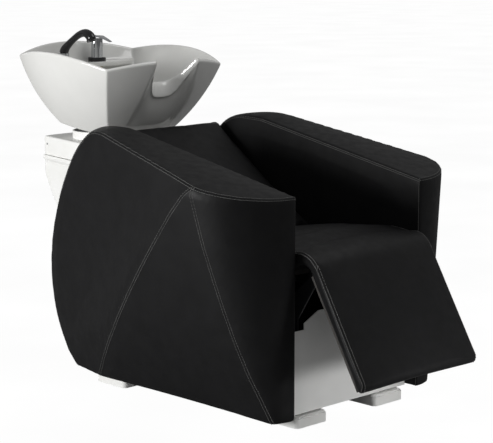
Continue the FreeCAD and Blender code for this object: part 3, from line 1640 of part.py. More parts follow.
strips = [
    wall_strip(right_side, SIDE_STRIP_COUNT),
    wall_strip(rear_side, SIDE_STRIP_COUNT),
    wall_strip(flipped(right_side), SIDE_STRIP_COUNT),
    wall_strip(left_wing, WING_STRIP_COUNT),
    wall_strip(flipped(left_wing), WING_STRIP_COUNT),
    wall_strip(neck_side, NECK_STRIP_COUNT),
]
skin = Part.makeShell([face for strip in strips for face in strip.Faces])
skin.sewShape()
uses = {}
for face in skin.Faces:
    for edge in face.Edges:
        uses.setdefault(edge.hashCode(), []).append(edge)
open_edges = [found[0] for found in uses.values() if len(found) == 1]
caps = [Part.Face(Part.Wire(loop)) for loop in Part.sortEdges(open_edges)]
skin = Part.makeShell(skin.Faces + caps)
skin.sewShape()
basin = Part.makeSolid(skin)
if basin.Volume < 0:
    basin.reverse()

shelf_low = float(shelf_height - s.shelf_thickness)
shelf_middle = float(shelf_height) - float(s.shelf_thickness) / 2


def shelf_corner(side, t):
    """A point inside the basin's wall at the height of the shelf."""
    outer, corners, inside, out = wall_section(*side(t))
    low = 0.0
    high = 1.0
    for halving in range(SHELF_HALVING_COUNT):
        half_way = (low + high) / 2
        if inside.value(half_way).z > shelf_middle:
            low = half_way
        else:
            high = half_way
    spot = inside.value(low) + out * (float(s.rim_width) / 2)
    return Vector(spot.x, spot.y, shelf_low)


shelf_front = float(s.shelf_front)
corners = []
for index in range(SIDE_STRIP_COUNT * 2):
    t = index / (SIDE_STRIP_COUNT * 2)
    spot = shelf_corner(right_side, t)
    if spot.y > shelf_front:
        corners.append(spot)
first = corners[0]
corners.insert(0, Vector(first.x, shelf_front, first.z))
for index in range(SIDE_STRIP_COUNT + 1):
    corners.append(shelf_corner(rear_side, index / SIDE_STRIP_COUNT))
right_part = [spot for spot in corners if spot.x > CLOSE]
left_part = [Vector(-spot.x, spot.y, spot.z) for spot in reversed(right_part)]
rear_middle = [spot for spot in corners if abs(spot.x) <= CLOSE]
shelf = Part.Face(closed(right_part + rear_middle + left_part))
shelf = shelf.extrude(Vector(0, 0, float(s.shelf_thickness)))
basin = basin.fuse(shelf)
basin.translate(Vector(0, float(at_run(basin_run)), 0))
tap_y = float(at_run(tap_run))
for x in (float(s.mixer_x), float(s.shower_x)):
    hole = Part.makeCylinder(
        float(s.tap_hole_radius),
        float(s.shelf_thickness) * 2,
        Vector(x, tap_y, shelf_low - float(s.shelf_thickness) / 2),
    )
    basin = basin.cut(hole)


def about_drain(radius, length, start):
    """A cylinder square to the basin's foot, from a height above that foot."""
    return Part.makeCylinder(float(radius), float(length), drain + foot_up * float(start), foot_up)


basin = basin.cut(about_drain(s.drain_radius, s.bowl_floor * 3, -s.bowl_floor))
basin = basin.cut(about_drain(s.strainer_radius + s.cap_play, s.strainer_radius, s.bowl_floor))
feature("basin_bowl", basin)

# Waste fitting

pipe_top = s.bowl_floor
strainer = about_drain(s.strainer_radius, s.strainer_thickness, pipe_top)
skirt = about_drain(s.waste_radius - s.waste_wall, s.bowl_floor / 2, pipe_top - s.bowl_floor / 2)
strainer = strainer.fuse(skirt)
aside = foot_turn.multVec(Vector(0, 1, 0))
slots = []
for row in (-1, 0, 1):
    slot_length = float(s.strainer_slot_length) - float(s.strainer_slot_width) * abs(row)
    slot_solid = Part.makeBox(
        slot_length,
        float(s.strainer_slot_width),
        float(s.bowl_floor) * 2,
        Vector(-slot_length / 2, float(s.strainer_slot_width) * (row * 2 - 1 / 2), 0),
    )
    slot_solid.Placement = Placement(drain, foot_turn)
    slots.append(slot_solid)
strainer = strainer.cut(Part.Compound(slots))
feature("waste_strainer", strainer)
pipe = about_drain(s.waste_radius, s.waste_length + s.bowl_floor, -s.waste_length)
pipe = pipe.cut(about_drain(s.waste_radius - s.waste_wall, s.waste_length + s.bowl_floor, -s.waste_length))
feature("waste_pipe", pipe)
nut_corners = []
for index in range(NUT_SIDE_COUNT):
    angle = 2 * math.pi * index / NUT_SIDE_COUNT
    spread = Vector(1, 0, 0) * math.cos(angle) + aside * math.sin(angle)
    nut_corners.append(drain - foot_up * float(s.waste_nut_height) + spread * float(s.waste_nut_radius))
nut = Part.Face(closed(nut_corners)).extrude(foot_up * float(s.waste_nut_height))
nut = nut.cut(about_drain(s.waste_radius, s.waste_nut_height, -s.waste_nut_height))
feature("waste_nut", nut)

# Mixer tap

tap_run_y = at_run(tap_run)
ring_top = shelf_height + s.mixer_ring_height
keep(
    tube(
        "mixer_ring",
        s.mixer_ring_radius,
        s.shank_radius,
        s.mixer_ring_height,
        s.mixer_x,
        tap_run_y,
        shelf_height,
    ),
    "mixer_ring",
)
mixer_body = fused(
    "mixer_body",
    cylinder("mixer_barrel", s.mixer_radius, s.mixer_height, s.mixer_x, tap_run_y, ring_top),
    cylinder(
        "mixer_shank",
        s.shank_radius,
        s.shank_length + s.mixer_ring_height,
        s.mixer_x,
        tap_run_y,
        shelf_height - s.shank_length,
    ),
)
keep(mixer_body, "mixer_body")
nut_height = shelf_height - s.shelf_thickness - s.nut_height
tap_nuts = []
for side, x in (("mixer", s.mixer_x), ("shower", s.shower_x)):
    block_of_nut = hexagon("nut_block_" + side, s.nut_radius, s.nut_height, x, tap_run_y, nut_height)
    nut_bore = cylinder("nut_bore_" + side, s.shank_radius, s.nut_height, x, tap_run_y, nut_height)
    tap_nuts.append(cut("nut_" + side, block_of_nut, nut_bore))
keep(group("tap_nuts", *tap_nuts), "tap_nuts")
cap_bottom = ring_top + s.mixer_height + s.cap_play
cap_top = cap_bottom + s.cap_height
cap = cylinder("mixer_dome", s.mixer_radius, s.cap_height, s.mixer_x, tap_run_y, cap_bottom)
tongue = box(
    "mixer_tongue",
    s.tongue_width,
    s.tongue_length,
    s.tongue_height,
    s.mixer_x - s.tongue_width / 2,
    tap_run_y + s.pin_setback - s.tongue_length / 2,
    cap_top,
)
pin_height = cap_top + s.pin_rise
pin_y = tap_run_y + s.pin_setback


def pin_shape(name, radius):
    return cylinder(name, radius, s.pin_length, s.mixer_x - s.pin_length / 2, pin_y, pin_height, "X")


cap = fused("mixer_cap_solid", cap, tongue)
keep(cut("mixer_cap", cap, pin_shape("cap_pin_hole", s.lever_pin_radius)), "mixer_cap")
keep(pin_shape("lever_pin", s.lever_pin_radius), "lever_pin")
lever_rear = float(pin_y + s.lever_overhang)
lever_low = float(pin_height - s.lever_thickness / 2)
lever_thick = float(s.lever_thickness)
slices = []
for along_share, width_share, fall_share in LEVER_shares:
    y = lever_rear - float(s.lever_length) * along_share
    half = float(s.lever_width) * width_share / 2
    low = lever_low - lever_thick * fall_share
    thick_here = lever_thick * (1 - LEVER_TAPER_share * along_share)
    bevel = thick_here / 3
    x = float(s.mixer_x)
    corners = [
        Vector(x - half, y, low),
        Vector(x + half, y, low),
        Vector(x + half, y, low + thick_here - bevel),
        Vector(x + half - bevel, y, low + thick_here),
        Vector(x - half + bevel, y, low + thick_here),
        Vector(x - half, y, low + thick_here - bevel),
    ]
    slices.append(closed(corners))
lever = lofted(slices)
slot_half = float(s.tongue_width) / 2 + float(s.cap_play)
slot = Part.makeBox(
    slot_half * 2,
    float(s.tongue_length + s.lever_overhang + s.cap_play * 4),
    lever_thick * 3,
    Vector(
        float(s.mixer_x) - slot_half,
        float(pin_y - s.tongue_length / 2 - s.cap_play * 2),
        lever_low - lever_thick,
    ),
)
lever = lever.cut(slot)
pin_bore = float(s.lever_pin_radius + s.hinge_play)
pin_start = point(s.mixer_x - s.pin_length / 2, pin_y, pin_height)
lever = lever.cut(Part.makeCylinder(pin_bore, float(s.pin_length), pin_start, Vector(1, 0, 0)))
feature("mixer_lever", lever)

# Hand shower

sleeve_floor = s.sleeve_height - s.handle_root
sleeve_bore = s.handle_radius + s.hinge_play
sleeve = cut(
    "shower_sleeve",
    fused(
        "sleeve_solid",
        cylinder(
            "sleeve_outside",
            s.sleeve_radius + s.sleeve_wall,
            s.sleeve_height,
            s.shower_x,
            tap_run_y,
            shelf_height,
        ),
        cylinder(
            "sleeve_shank",
            s.shank_radius,
            s.shank_length,
            s.shower_x,
            tap_run_y,
            shelf_height - s.shank_length,
        ),
    ),
    cylinder(
        "sleeve_hollow",
        sleeve_bore,
        s.sleeve_height,
        s.shower_x,
        tap_run_y,
        shelf_height + sleeve_floor,
    ),
    cylinder(
        "sleeve_way",
        s.shank_radius - s.sleeve_wall,
        s.shank_length * 2,
        s.shower_x,
        tap_run_y,
        shelf_height - s.shank_length,
    ),
)
keep(sleeve, "shower_sleeve")
sleeve_top = float(shelf_height + s.sleeve_height)
handle_bottom = float(shelf_height + sleeve_floor) + float(s.cap_play)
x = float(s.shower_x)
spots = []
for along, rise, swelling in HANDLE_shares:
    z = sleeve_top + float(s.handle_rise) * rise
    spots.append(Vector(x, tap_y - float(s.handle_reach) * along, z))
sections = []
for index, spot in enumerate(spots):
    before = spots[max(index - 1, 0)]
    after = spots[min(index + 1, len(spots) - 1)]
    along = (after - before).normalize()
    if index == 0:
        along = Vector(0, 0, 1)
    swelling = HANDLE_shares[index][2]
    radius = float(s.handle_radius) + float(s.handle_head_radius - s.handle_radius) * swelling
    up = Vector(1, 0, 0).cross(along)
    ring = []
    for corner_index in range(HANDLE_SIDE_COUNT):
        angle = 2 * math.pi * corner_index / HANDLE_SIDE_COUNT
        ring.append(spot + Vector(radius * math.cos(angle), 0, 0) + up * (radius * math.sin(angle)))
    sections.append(closed(ring))
handle = lofted(sections)
root_length = sleeve_top - handle_bottom + gap
handle_start = Vector(x, tap_y, handle_bottom)
handle = handle.fuse(Part.makeCylinder(float(s.handle_radius), root_length, handle_start))
head = spots[-2]
spray_axis = Vector(0, -SPRAY_LEAN_share, -1).normalize()
spray_length = float(s.spray_height) + float(s.handle_head_radius) / 2
spray = Part.makeCylinder(float(s.spray_radius), spray_length, head, spray_axis)
core = Part.makeCylinder(float(s.spray_radius), spray_length * 2, head, spray_axis)
handle = handle.cut(core)
feature("shower_handle", handle)
feature("spray_face", spray)

# Check and write

document.recompute()
for piece in document.Objects:
    if "Invalid" in piece.State or "Error" in piece.State:
        raise RuntimeError(f"{piece.Label}: {piece.State}")
for piece in pieces:
    shape = piece.Shape
    if shape.isNull() or not shape.isValid() or shape.Volume <= 0:
        raise RuntimeError(f"{piece.Label} has no sound shape")

os.makedirs("parts", exist_ok=True)
whole = FreeCAD.BoundBox()
for piece in pieces:
    piece.Shape.exportStep(f"parts/{piece.Label}.step")
    whole.add(piece.Shape.BoundBox)
print(len(pieces), "pieces", whole)
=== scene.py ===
import json
import math

import bpy
import numpy as np
from bpy.props import FloatProperty, PointerProperty, StringProperty
from bpy.types import Operator, Panel, PropertyGroup
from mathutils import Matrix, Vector
from mathutils.bvhtree import BVHTree
from mathutils.kdtree import KDTree


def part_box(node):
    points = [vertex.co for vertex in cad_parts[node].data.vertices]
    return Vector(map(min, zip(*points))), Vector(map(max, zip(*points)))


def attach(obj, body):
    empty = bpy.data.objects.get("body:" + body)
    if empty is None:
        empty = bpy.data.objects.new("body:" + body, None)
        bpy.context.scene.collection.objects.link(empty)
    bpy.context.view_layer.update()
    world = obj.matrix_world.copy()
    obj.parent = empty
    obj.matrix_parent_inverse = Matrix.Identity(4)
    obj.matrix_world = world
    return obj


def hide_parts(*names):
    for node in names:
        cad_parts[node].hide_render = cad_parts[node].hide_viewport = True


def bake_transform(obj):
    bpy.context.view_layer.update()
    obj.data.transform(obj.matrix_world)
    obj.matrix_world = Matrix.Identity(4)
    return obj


bl_info = {
    "name": "Hair Washing Bed",
    "version": (1, 0, 0),
    "blender": (4, 5, 0),
    "location": "View3D > Sidebar > Hair Washing Bed",
    "description": "Dresses a salon backwash chair with leather, ceramic and chrome",
    "category": "Object",
}

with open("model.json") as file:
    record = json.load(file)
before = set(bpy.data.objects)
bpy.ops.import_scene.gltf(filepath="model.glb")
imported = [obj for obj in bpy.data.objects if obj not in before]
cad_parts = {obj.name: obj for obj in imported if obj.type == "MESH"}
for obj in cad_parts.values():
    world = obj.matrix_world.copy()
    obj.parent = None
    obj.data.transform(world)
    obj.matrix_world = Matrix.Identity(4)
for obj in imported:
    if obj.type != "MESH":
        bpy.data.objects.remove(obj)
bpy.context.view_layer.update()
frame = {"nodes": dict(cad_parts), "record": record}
NODES = frame["nodes"]
MM = 0.001
# Y of the front of the arms in millimetres; a "run" is a distance back from there.
FRONT = NODES["arm_right"].bound_box[0][1] / MM


def at(x, run, z):
    """A place in metres from millimetres across, back from the arm fronts and up."""
    return Vector((x * MM, (run + FRONT) * MM, z * MM))


# Sizes of the object in millimetres: the arms' inner face, the knee, the basin's middle and the taps
INNER_X = 255.0
KNEE_RUN = 0.5
KNEE_Z = 433.0
LEG_SLOPE = math.radians(59.8)
BASIN_RUN = 1010.0
TAP_RUN = 1222.0
# The edge of the arm from the end of the flat top down its rear, as run and height
ARM_REAR = (
    (645, 782),
    (690, 784),
    (735, 777),
    (775, 757),
    (830, 716),
    (872, 672),
    (932, 590),
    (976, 507),
    (1008, 427),
    (1029, 334),
    (1025, 233),
    (1003, 160),
    (961, 91),
    (890, 35.4),
)
# Height, then how far the heel seam and the toe seam bow out from a straight line there
ARM_BOWS = (
    (36, 0, 0),
    (110, 20, 14),
    (180, 33, 29),
    (267, 43, 38),
    (354, 47.5, 40.6),
    (442, 47, 39),
    (529, 42, 35.5),
    (604, 35, 26),
    (660, 22, 18),
    (686, 0, 0),
)


# Finishes


def linear(colour):
    """A hex sRGB colour as linear numbers with alpha."""
    values = [int(colour[i : i + 2], 16) / 255 for i in (1, 3, 5)]
    return [v / 12.92 if v <= 0.04045 else ((v + 0.055) / 1.055) ** 2.4 for v in values] + [1.0]


def add_node(tree, kind, inputs=(), **settings):
    """A shader node with its settings, values and links."""
    node = tree.nodes.new(kind)
    for name, value in settings.items():
        setattr(node, name, value)
    for socket, value in dict(inputs).items():
        if isinstance(value, bpy.types.NodeSocket):
            tree.links.new(value, node.inputs[socket])
        else:
            node.inputs[socket].default_value = value
    return node


def per_mm(size_mm):
    """Texture scale for a pattern whose repeat has this real size."""
    return 1.0 / (size_mm * MM)


def start_material(name):
    material = bpy.data.materials.new(name)
    material.use_nodes = True
    tree = material.node_tree
    tree.nodes.clear()
    place = add_node(tree, "ShaderNodeTexCoord").outputs["Object"]
    return material, tree, place


def mottled(tree, place, colour, other, size_mm, detail=3.0):
    """A colour that drifts to another in soft patches of a real size."""
    scale = per_mm(size_mm)
    noise = add_node(tree, "ShaderNodeTexNoise", {"Vector": place, "Scale": scale, "Detail": detail})
    ramp = add_node(tree, "ShaderNodeValToRGB", {"Fac": noise.outputs["Fac"]})
    ramp.color_ramp.elements[0].position = 0.35
    ramp.color_ramp.elements[0].color = linear(colour)
    ramp.color_ramp.elements[1].position = 0.7
    ramp.color_ramp.elements[1].color = linear(other)
    return ramp.outputs["Color"]


def uneven(tree, place, low, high, size_mm):
    """Roughness that varies between two values."""
    noise = add_node(tree, "ShaderNodeTexNoise", {"Vector": place, "Scale": per_mm(size_mm), "Detail": 4.0})
    spread = add_node(
        tree,
        "ShaderNodeMapRange",
        {"Value": noise.outputs["Fac"], "From Min": 0.3, "From Max": 0.7, "To Min": low, "To Max": high},
    )
    return spread.outputs["Result"]


def relief(tree, height, depth_mm, strength, before=None):
    """A skin that rises and falls by a real depth, laid over another one if there is one."""
    inputs = {"Height": height, "Distance": depth_mm * MM, "Strength": strength}
    if before is not None:
        inputs["Normal"] = before
    return add_node(tree, "ShaderNodeBump", inputs).outputs["Normal"]


def finish_material(material, tree, shader_inputs):
    shader = add_node(tree, "ShaderNodeBsdfPrincipled", shader_inputs)
    add_node(tree, "ShaderNodeOutputMaterial", {"Surface": shader.outputs["BSDF"]})
    return material


def embossed_black_leather():
    # Coated upholstery leather, embossed and matt: near black, small pebbles, faint slack waves.
    material, tree, place = start_material("Embossed black leather")
    sizes = bpy.context.scene.bed_finish
    pebble = add_node(
        tree,
        "ShaderNodeTexVoronoi",
        {"Vector": place, "Scale": per_mm(sizes.leather_pebble * 1000), "Randomness": 0.9},
        feature="SMOOTH_F1",
    )
    waves = add_node(tree, "ShaderNodeTexNoise", {"Vector": place, "Scale": per_mm(90), "Detail": 2.0})
    normal = relief(tree, waves.outputs["Fac"], 1.6, 0.35)
    normal = relief(tree, pebble.outputs["Distance"], 0.25, 0.35, normal)
    return finish_material(
        material,
        tree,
        {
            "Base Color": mottled(tree, place, sizes.leather_colour, "#111112", 60),
            "Roughness": uneven(tree, place, 0.5, 0.62, 25),
            "Specular IOR Level": 0.19,
            "Normal": normal,
        },
    )


def glazed_ceramic():
    # Slip-cast sanitary ware under a clear gloss glaze: almost white, mirror-like, with slow ripples.
    material, tree, place = start_material("Glazed sanitary ceramic")
    sizes = bpy.context.scene.bed_finish
    ripple = add_node(tree, "ShaderNodeTexNoise", {"Vector": place, "Scale": per_mm(45), "Detail": 1.0})
    return finish_material(
        material,
        tree,
        {
            "Base Color": mottled(tree, place, sizes.ceramic_colour, "#dededb", 120),
            "Roughness": uneven(tree, place, 0.09, 0.16, 60),
            "Coat Weight": 0.6,
            "Coat Roughness": 0.04,
            "Normal": relief(tree, ripple.outputs["Fac"], 0.6, 0.12),
        },
    )


def metal(name, colour, other, low, high, grain_mm, depth_mm):
    """A bare or plated metal with its own grain."""
    material, tree, place = start_material(name)
    scale = per_mm(grain_mm)
    grain = add_node(tree, "ShaderNodeTexNoise", {"Vector": place, "Scale": scale, "Detail": 3.0})
    return finish_material(
        material,
        tree,
        {
            "Base Color": mottled(tree, place, colour, other, 30),
            "Metallic": 1.0,
            "Roughness": uneven(tree, place, low, high, grain_mm * 4),
            "Normal": relief(tree, grain.outputs["Fac"], depth_mm, 0.2),
        },
    )


def coated(name, colours, patch_mm, gloss, drift_mm, grain_mm, depth_mm=0.08, strength=0.3, detail=2.0):
    """A plastic, rubber or paint whose colour, roughness and skin each vary at their own size."""
    material, tree, place = start_material(name)
    scale = per_mm(grain_mm)
    grain = add_node(tree, "ShaderNodeTexNoise", {"Vector": place, "Scale": scale, "Detail": detail})
    return finish_material(
        material,
        tree,
        {
            "Base Color": mottled(tree, place, *colours, patch_mm),
            "Roughness": uneven(tree, place, *gloss, drift_mm),
            "Normal": relief(tree, grain.outputs["Fac"], depth_mm, strength),
        },
    )


def birch_plywood():
    # Rotary-cut birch plies stained black: long faint grain, matt.
    material, tree, place = start_material("Black stained birch plywood")
    mapped = add_node(tree, "ShaderNodeMapping", {"Vector": place, "Scale": (0.12, 1, 1)}).outputs["Vector"]
    grain = add_node(tree, "ShaderNodeTexNoise", {"Vector": mapped, "Scale": per_mm(6), "Detail": 5.0})
    return finish_material(
        material,
        tree,
        {
            "Base Color": mottled(tree, mapped, "#1d1a17", "#28231e", 14, 5.0),
            "Roughness": uneven(tree, mapped, 0.6, 0.75, 12),
            "Normal": relief(tree, grain.outputs["Fac"], 0.15, 0.4),
        },
    )


FINISHES = {}


def make_finishes():
    FINISHES["leather"] = embossed_black_leather()
    FINISHES["ceramic"] = glazed_ceramic()
    FINISHES["plywood"] = birch_plywood()
    # Injection moulded ABS with a fine spark-eroded texture, a little softer than paint.
    FINISHES["white_plastic"] = coated(
        "Moulded white ABS", ("#f1f1ef", "#ecece9"), 80, (0.3, 0.38), 40, 1.5, 0.05, 0.25
    )
    # Powder coated sheet steel: orange-peel skin of a few millimetres and a satin gloss.
    FINISHES["white_paint"] = coated(
        "White powder coated steel", ("#ececea", "#e6e6e4"), 100, (0.38, 0.46), 30, 3, 0.12, 0.3, 1.0
    )
    # The same process in black on tube and plate.
    FINISHES["black_steel"] = coated(
        "Black powder coated steel", ("#1b1c1e", "#232427"), 50, (0.4, 0.52), 20, 3, 0.12, 0.3, 1.0
    )
    # Bright chrome over nickel on cast brass, polished by wheel.
    FINISHES["chrome"] = metal("Polished chrome plate", "#c8cacc", "#bfc1c4", 0.05, 0.11, 20, 0.05)
    # Zinc plate over turned or rolled steel.
    FINISHES["zinc"] = metal("Zinc plated steel", "#b2b4b6", "#a0a2a6", 0.32, 0.45, 1.5, 0.05)
    # Turned brass left raw.
    FINISHES["brass"] = metal("Turned brass", "#b8984f", "#a78742", 0.28, 0.4, 1, 0.05)
    # Compression moulded rubber, chalky and rough.
    FINISHES["rubber"] = coated("Moulded rubber", ("#282828", "#303030"), 25, (0.75, 0.9), 20, 1.2)
    # Matt moulded ABS in black.
    FINISHES["black_plastic"] = coated(
        "Moulded black ABS", ("#161618", "#1d1d20"), 25, (0.35, 0.5), 20, 1.0
    )
    # Polished injection moulded ABS in black.
    FINISHES["gloss_black"] = coated("Glossy black ABS", ("#0e0e10", "#131315"), 25, (0.12, 0.2), 20, 4.0)
    # Plain bearing acetal, milky.
    FINISHES["bush_plastic"] = coated("Turned acetal", ("#d9d7cd", "#cfccc0"), 25, (0.35, 0.45), 20, 0.8)
    # Twisted polyester thread.
    FINISHES["thread"] = coated("Grey polyester thread", ("#525251", "#5e5e5c"), 25, (0.6, 0.8), 20, 0.8)


# Meshes


def new_piece(name, mesh, finish, body, smooth=True):
    """A visible piece with its finish, riding on a body."""
    piece = bpy.data.objects.new(name, mesh)
    bpy.context.scene.collection.objects.link(piece)
    mesh.materials.clear()
    mesh.materials.append(FINISHES[finish])
    if smooth:
        mesh.polygons.foreach_set("use_smooth", [True] * len(mesh.polygons))
    if body:
        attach(piece, body)
    return piece


def modified_mesh(piece):
    """The piece's mesh with its modifiers worked in."""
    graph = bpy.context.evaluated_depsgraph_get()
    return bpy.data.meshes.new_from_object(piece.evaluated_get(graph))


def with_modifiers(mesh, *modifiers):
    """A mesh after a chain of modifiers, each given as its kind and its settings."""
    carrier = bpy.data.objects.new("working piece", mesh)
    bpy.context.scene.collection.objects.link(carrier)
    for kind, settings in modifiers:
        modifier = carrier.modifiers.new(kind.lower(), kind)
        for name, value in settings.items():
            setattr(modifier, name, value)
    bpy.context.view_layer.update()
    result = modified_mesh(carrier)
    bpy.data.objects.remove(carrier)
    return result


def rounded(mesh, voxel_mm, passes):
    """A closed mesh made even and with its edges rounded off."""
    voxel = ("REMESH", {"mode": "VOXEL", "voxel_size": voxel_mm * MM, "adaptivity": 0.0})
    soften = ("SMOOTH", {"factor": 0.5, "iterations": passes})
    return with_modifiers(mesh, voxel, soften)


def mesh_of(name, vertices, faces):
    mesh = bpy.data.meshes.new(name)
    mesh.from_pydata(vertices, [], faces)
    mesh.update()
    return mesh


def coordinates(mesh):
    values = np.empty(len(mesh.vertices) * 3)
    mesh.vertices.foreach_get("co", values)
    return values.reshape(-1, 3)


def set_coordinates(mesh, values):
    mesh.vertices.foreach_set("co", np.asarray(values, float).ravel())
    mesh.update()


def normals(mesh):
    values = np.empty(len(mesh.vertices) * 3)
    mesh.vertices.foreach_get("normal", values)
    return values.reshape(-1, 3)


# Steps of the stuffing, then how far from a seam the leather is held and how fast the hold fades, in mm
CLOTH_FRAMES = 20
SEAM_REACH = 14
SEAM_FADE = 9


def stuffed(mesh, pressure, cap_mm, seams=()):
    """Swells a closed mesh under its cover, held along its seams, by no more than the cap."""
    rest = coordinates(mesh)
    piece = bpy.data.objects.new("stuffing", mesh)
    bpy.context.scene.collection.objects.link(piece)
    modifier = piece.modifiers.new("stuffing", "CLOTH")
    settings = modifier.settings
    settings.quality = 4
    settings.use_pressure = True
    settings.uniform_pressure_force = pressure
    settings.effector_weights.gravity = 0
    settings.tension_stiffness = 20
    settings.compression_stiffness = 20
    settings.shear_stiffness = 8
    settings.bending_stiffness = 2
    modifier.point_cache.frame_start = 1
    modifier.point_cache.frame_end = CLOTH_FRAMES
    if seams:
        tree = KDTree(sum(len(seam) for seam in seams))
        for index, spot in enumerate(spot for seam in seams for spot in seam):
            tree.insert(spot, index)
        tree.balance()
        held = piece.vertex_groups.new(name="held")
        for vertex in mesh.vertices:
            distance = tree.find(vertex.co)[2]
            if distance < SEAM_REACH * MM:
                held.add([vertex.index], min(1.0, 1.6 - distance / (SEAM_FADE * MM)), "REPLACE")
        settings.vertex_group_mass = "held"
    scene = bpy.context.scene
    for number in range(1, CLOTH_FRAMES + 1):
        scene.frame_set(number)
    swollen = modified_mesh(piece)
    moved = coordinates(swollen) - rest
    reach = np.linalg.norm(moved, axis=1, keepdims=True)
    moved *= np.minimum(1.0, cap_mm * MM / np.maximum(reach, 1e-9))
    scene.frame_set(1)
    bpy.data.objects.remove(piece)
    set_coordinates(mesh, rest + moved)
    return mesh


def finer(mesh):
    """One smooth subdivision."""
    return with_modifiers(mesh, ("SUBSURF", {"levels": 1}))


def shrunk(mesh, inset_mm):
    """Draws a mesh in along its normals."""
    set_coordinates(mesh, coordinates(mesh) - normals(mesh) * inset_mm * MM)
    return mesh


def dense_line(points, step_mm=6.0):
    """Points along a broken line at a steady step."""
    result = []
    for first, second in zip(points, points[1:]):
        count = max(1, int((second - first).length / (step_mm * MM)))
        result += [first.lerp(second, index / count) for index in range(count)]
    return result + [points[-1]]


def smooth_line(points, parts=8):
    """A rounded line through points."""
    result = []
    ends = [points[0] * 2 - points[1]] + list(points) + [points[-1] * 2 - points[-2]]
    for before, first, second, after in zip(ends, ends[1:], ends[2:], ends[3:]):
        for index in range(parts):
            t = index / parts
            result.append(
                0.5
                * (
                    2 * first
                    + (second - before) * t
                    + (2 * before - 5 * first + 4 * second - after) * t * t
                    + (3 * first - before - 3 * second + after) * t**3
                )
            )
    return result + [points[-1]]


def circle(centre, side, up, radius, count):
    """Points round a centre in the plane of two directions."""
    turns = [2 * math.pi * index / count for index in range(count)]
    return [centre + (side * math.cos(turn) + up * math.sin(turn)) * radius for turn in turns]


def tube_faces(base, rows, count):
    """Faces of a closed tube through rings whose points are numbered on from the base."""
    faces = []
    for row in range(rows - 1):
        start = base + row * count
        for column in range(count):
            after = (column + 1) % count
            faces.append((start + column, start + after, start + count + after, start + count + column))
    last = base + (rows - 1) * count
    faces.append(tuple(reversed(range(base, base + count))))
    faces.append(tuple(range(last, last + count)))
    return faces


def ring_strip(rings):
    """A closed mesh through rings of the same number of points."""
    vertices = [tuple(spot) for ring in rings for spot in ring]
    return mesh_of("strip", vertices, tube_faces(0, len(rings), len(rings[0])))


def swept_tube(spots, radii, sides=28):
    """A closed tube along a line, with its own radius at every point."""
    rings = []
    side = Vector((1, 0, 0))
    for index, spot in enumerate(spots):
        before = spots[max(0, index - 1)]
        after = spots[min(len(spots) - 1, index + 1)]
        up = (after - before).normalized().cross(side).normalized()
        rings.append(circle(spot, side, up, radii[index], sides))
    return ring_strip(rings)


# Stitches in millimetres: length, distance from one to the next, radius and points round the thread
STITCH = 7.0
STITCH_PITCH = 8.5
STITCH_RADIUS = 0.7
STITCH_SIDES = 6
# Where along half a stitch its rings stand and how wide each is
STITCH_RINGS = ((-1.0, 0.35), (-0.7, 1.0), (0.7, 1.0), (1.0, 0.35))
# Neighbours on each side over which the way to the leather is averaged
STITCH_NEAR = 4


def thread_rows(name, seams, surface, body, apart_mm=8.0):
    """Two rows of stitches beside each seam, or one on it, sunk a little into the leather."""
    tree = BVHTree.FromObject(surface, bpy.context.evaluated_depsgraph_get())
    vertices = []
    faces = []
    for seam in seams:
        line = dense_line(seam, STITCH_PITCH)
        middles = [(first + second) / 2 for first, second in zip(line, line[1:])]
        hits = [tree.find_nearest(middle) for middle in middles]
        for index, middle in enumerate(middles):
            near = range(max(0, index - STITCH_NEAR), min(len(middles), index + STITCH_NEAR + 1))
            shift = sum((hits[other][0] - middles[other] for other in near), Vector()) / len(near)
            normal = sum((hits[other][1] for other in near), Vector()).normalized()
            along = (line[index + 1] - line[index]).normalized()
            aside = normal.cross(along).normalized()
            for side in (-0.5, 0.5) if apart_mm else (0.0,):
                place, up = tree.find_nearest(middle + shift + aside * (side * apart_mm * MM))[:2]
                across = up.cross(along).normalized()
                faces += tube_faces(len(vertices), len(STITCH_RINGS), STITCH_SIDES)
                for reach, width in STITCH_RINGS:
                    centre = place + along * (STITCH / 2 * MM * reach) + up * (0.1 * MM)
                    ring = circle(centre, across, up, STITCH_RADIUS * MM * width, STITCH_SIDES)
                    vertices += [tuple(spot) for spot in ring]
    return new_piece(name, mesh_of(name, vertices, faces), "thread", body)


# Arms


# The arm's outer corner, where both outer seams start, and the board where they end
CORNER_X = 481.0
CORNER_RUN = 165.0
CORNER_Z = 686.0
BOARD_Z = 36.0
# How far the foot of the toe seam lies in front of the corner and that of the heel seam behind it
TOE_SHIFT = 145.0
HEEL_SHIFT = 588.0
# Height of the flat top at the front, and its climb per length
TOP_Z = 652.0
TOP_RISE = 130 / 645
# The leaning rear swells backward and upward alike.
LEAN_SHARE = math.sqrt(0.5)
# Parts of a bow that go outward and backward
BOW_OUT = 0.6
BOW_BACK = 0.4


def eased(share):
    """Nothing below zero, one above one and a smooth rise between."""
    share = min(1.0, max(0.0, share))
    return share * share * (3 - 2 * share)


def upper(z):
    """One near the top of the arm, falling to nothing below its middle."""
    return eased((z - 430) / 220)


def top_z(run):
    """Height of the flat top of the arm."""
    return TOP_Z + TOP_RISE * run


def side_panel_x(z):
    """Outer face of the arm between its two slanting seams."""
    return 325 + 0.24 * (z - BOARD_Z)


def rear_plane_x(run, z):
    """Outer face of the arm behind its long slanting seam."""
    return CORNER_X - 0.2019 * (run - CORNER_RUN) + 0.0572 * (z - CORNER_Z)


def outward(x, run, z):
    """Share of the way from the inner to the outer face of the arm."""
    return (x - INNER_X) / (rear_plane_x(run, z) - INNER_X)


def lean_mm(x, run, z):
    """How far the rear of the arm swells at its inner edge and draws in at its outer edge."""
    return (28 - 37 * outward(x, run, z)) * eased((run - 680) / 120) * upper(z) * LEAN_SHARE


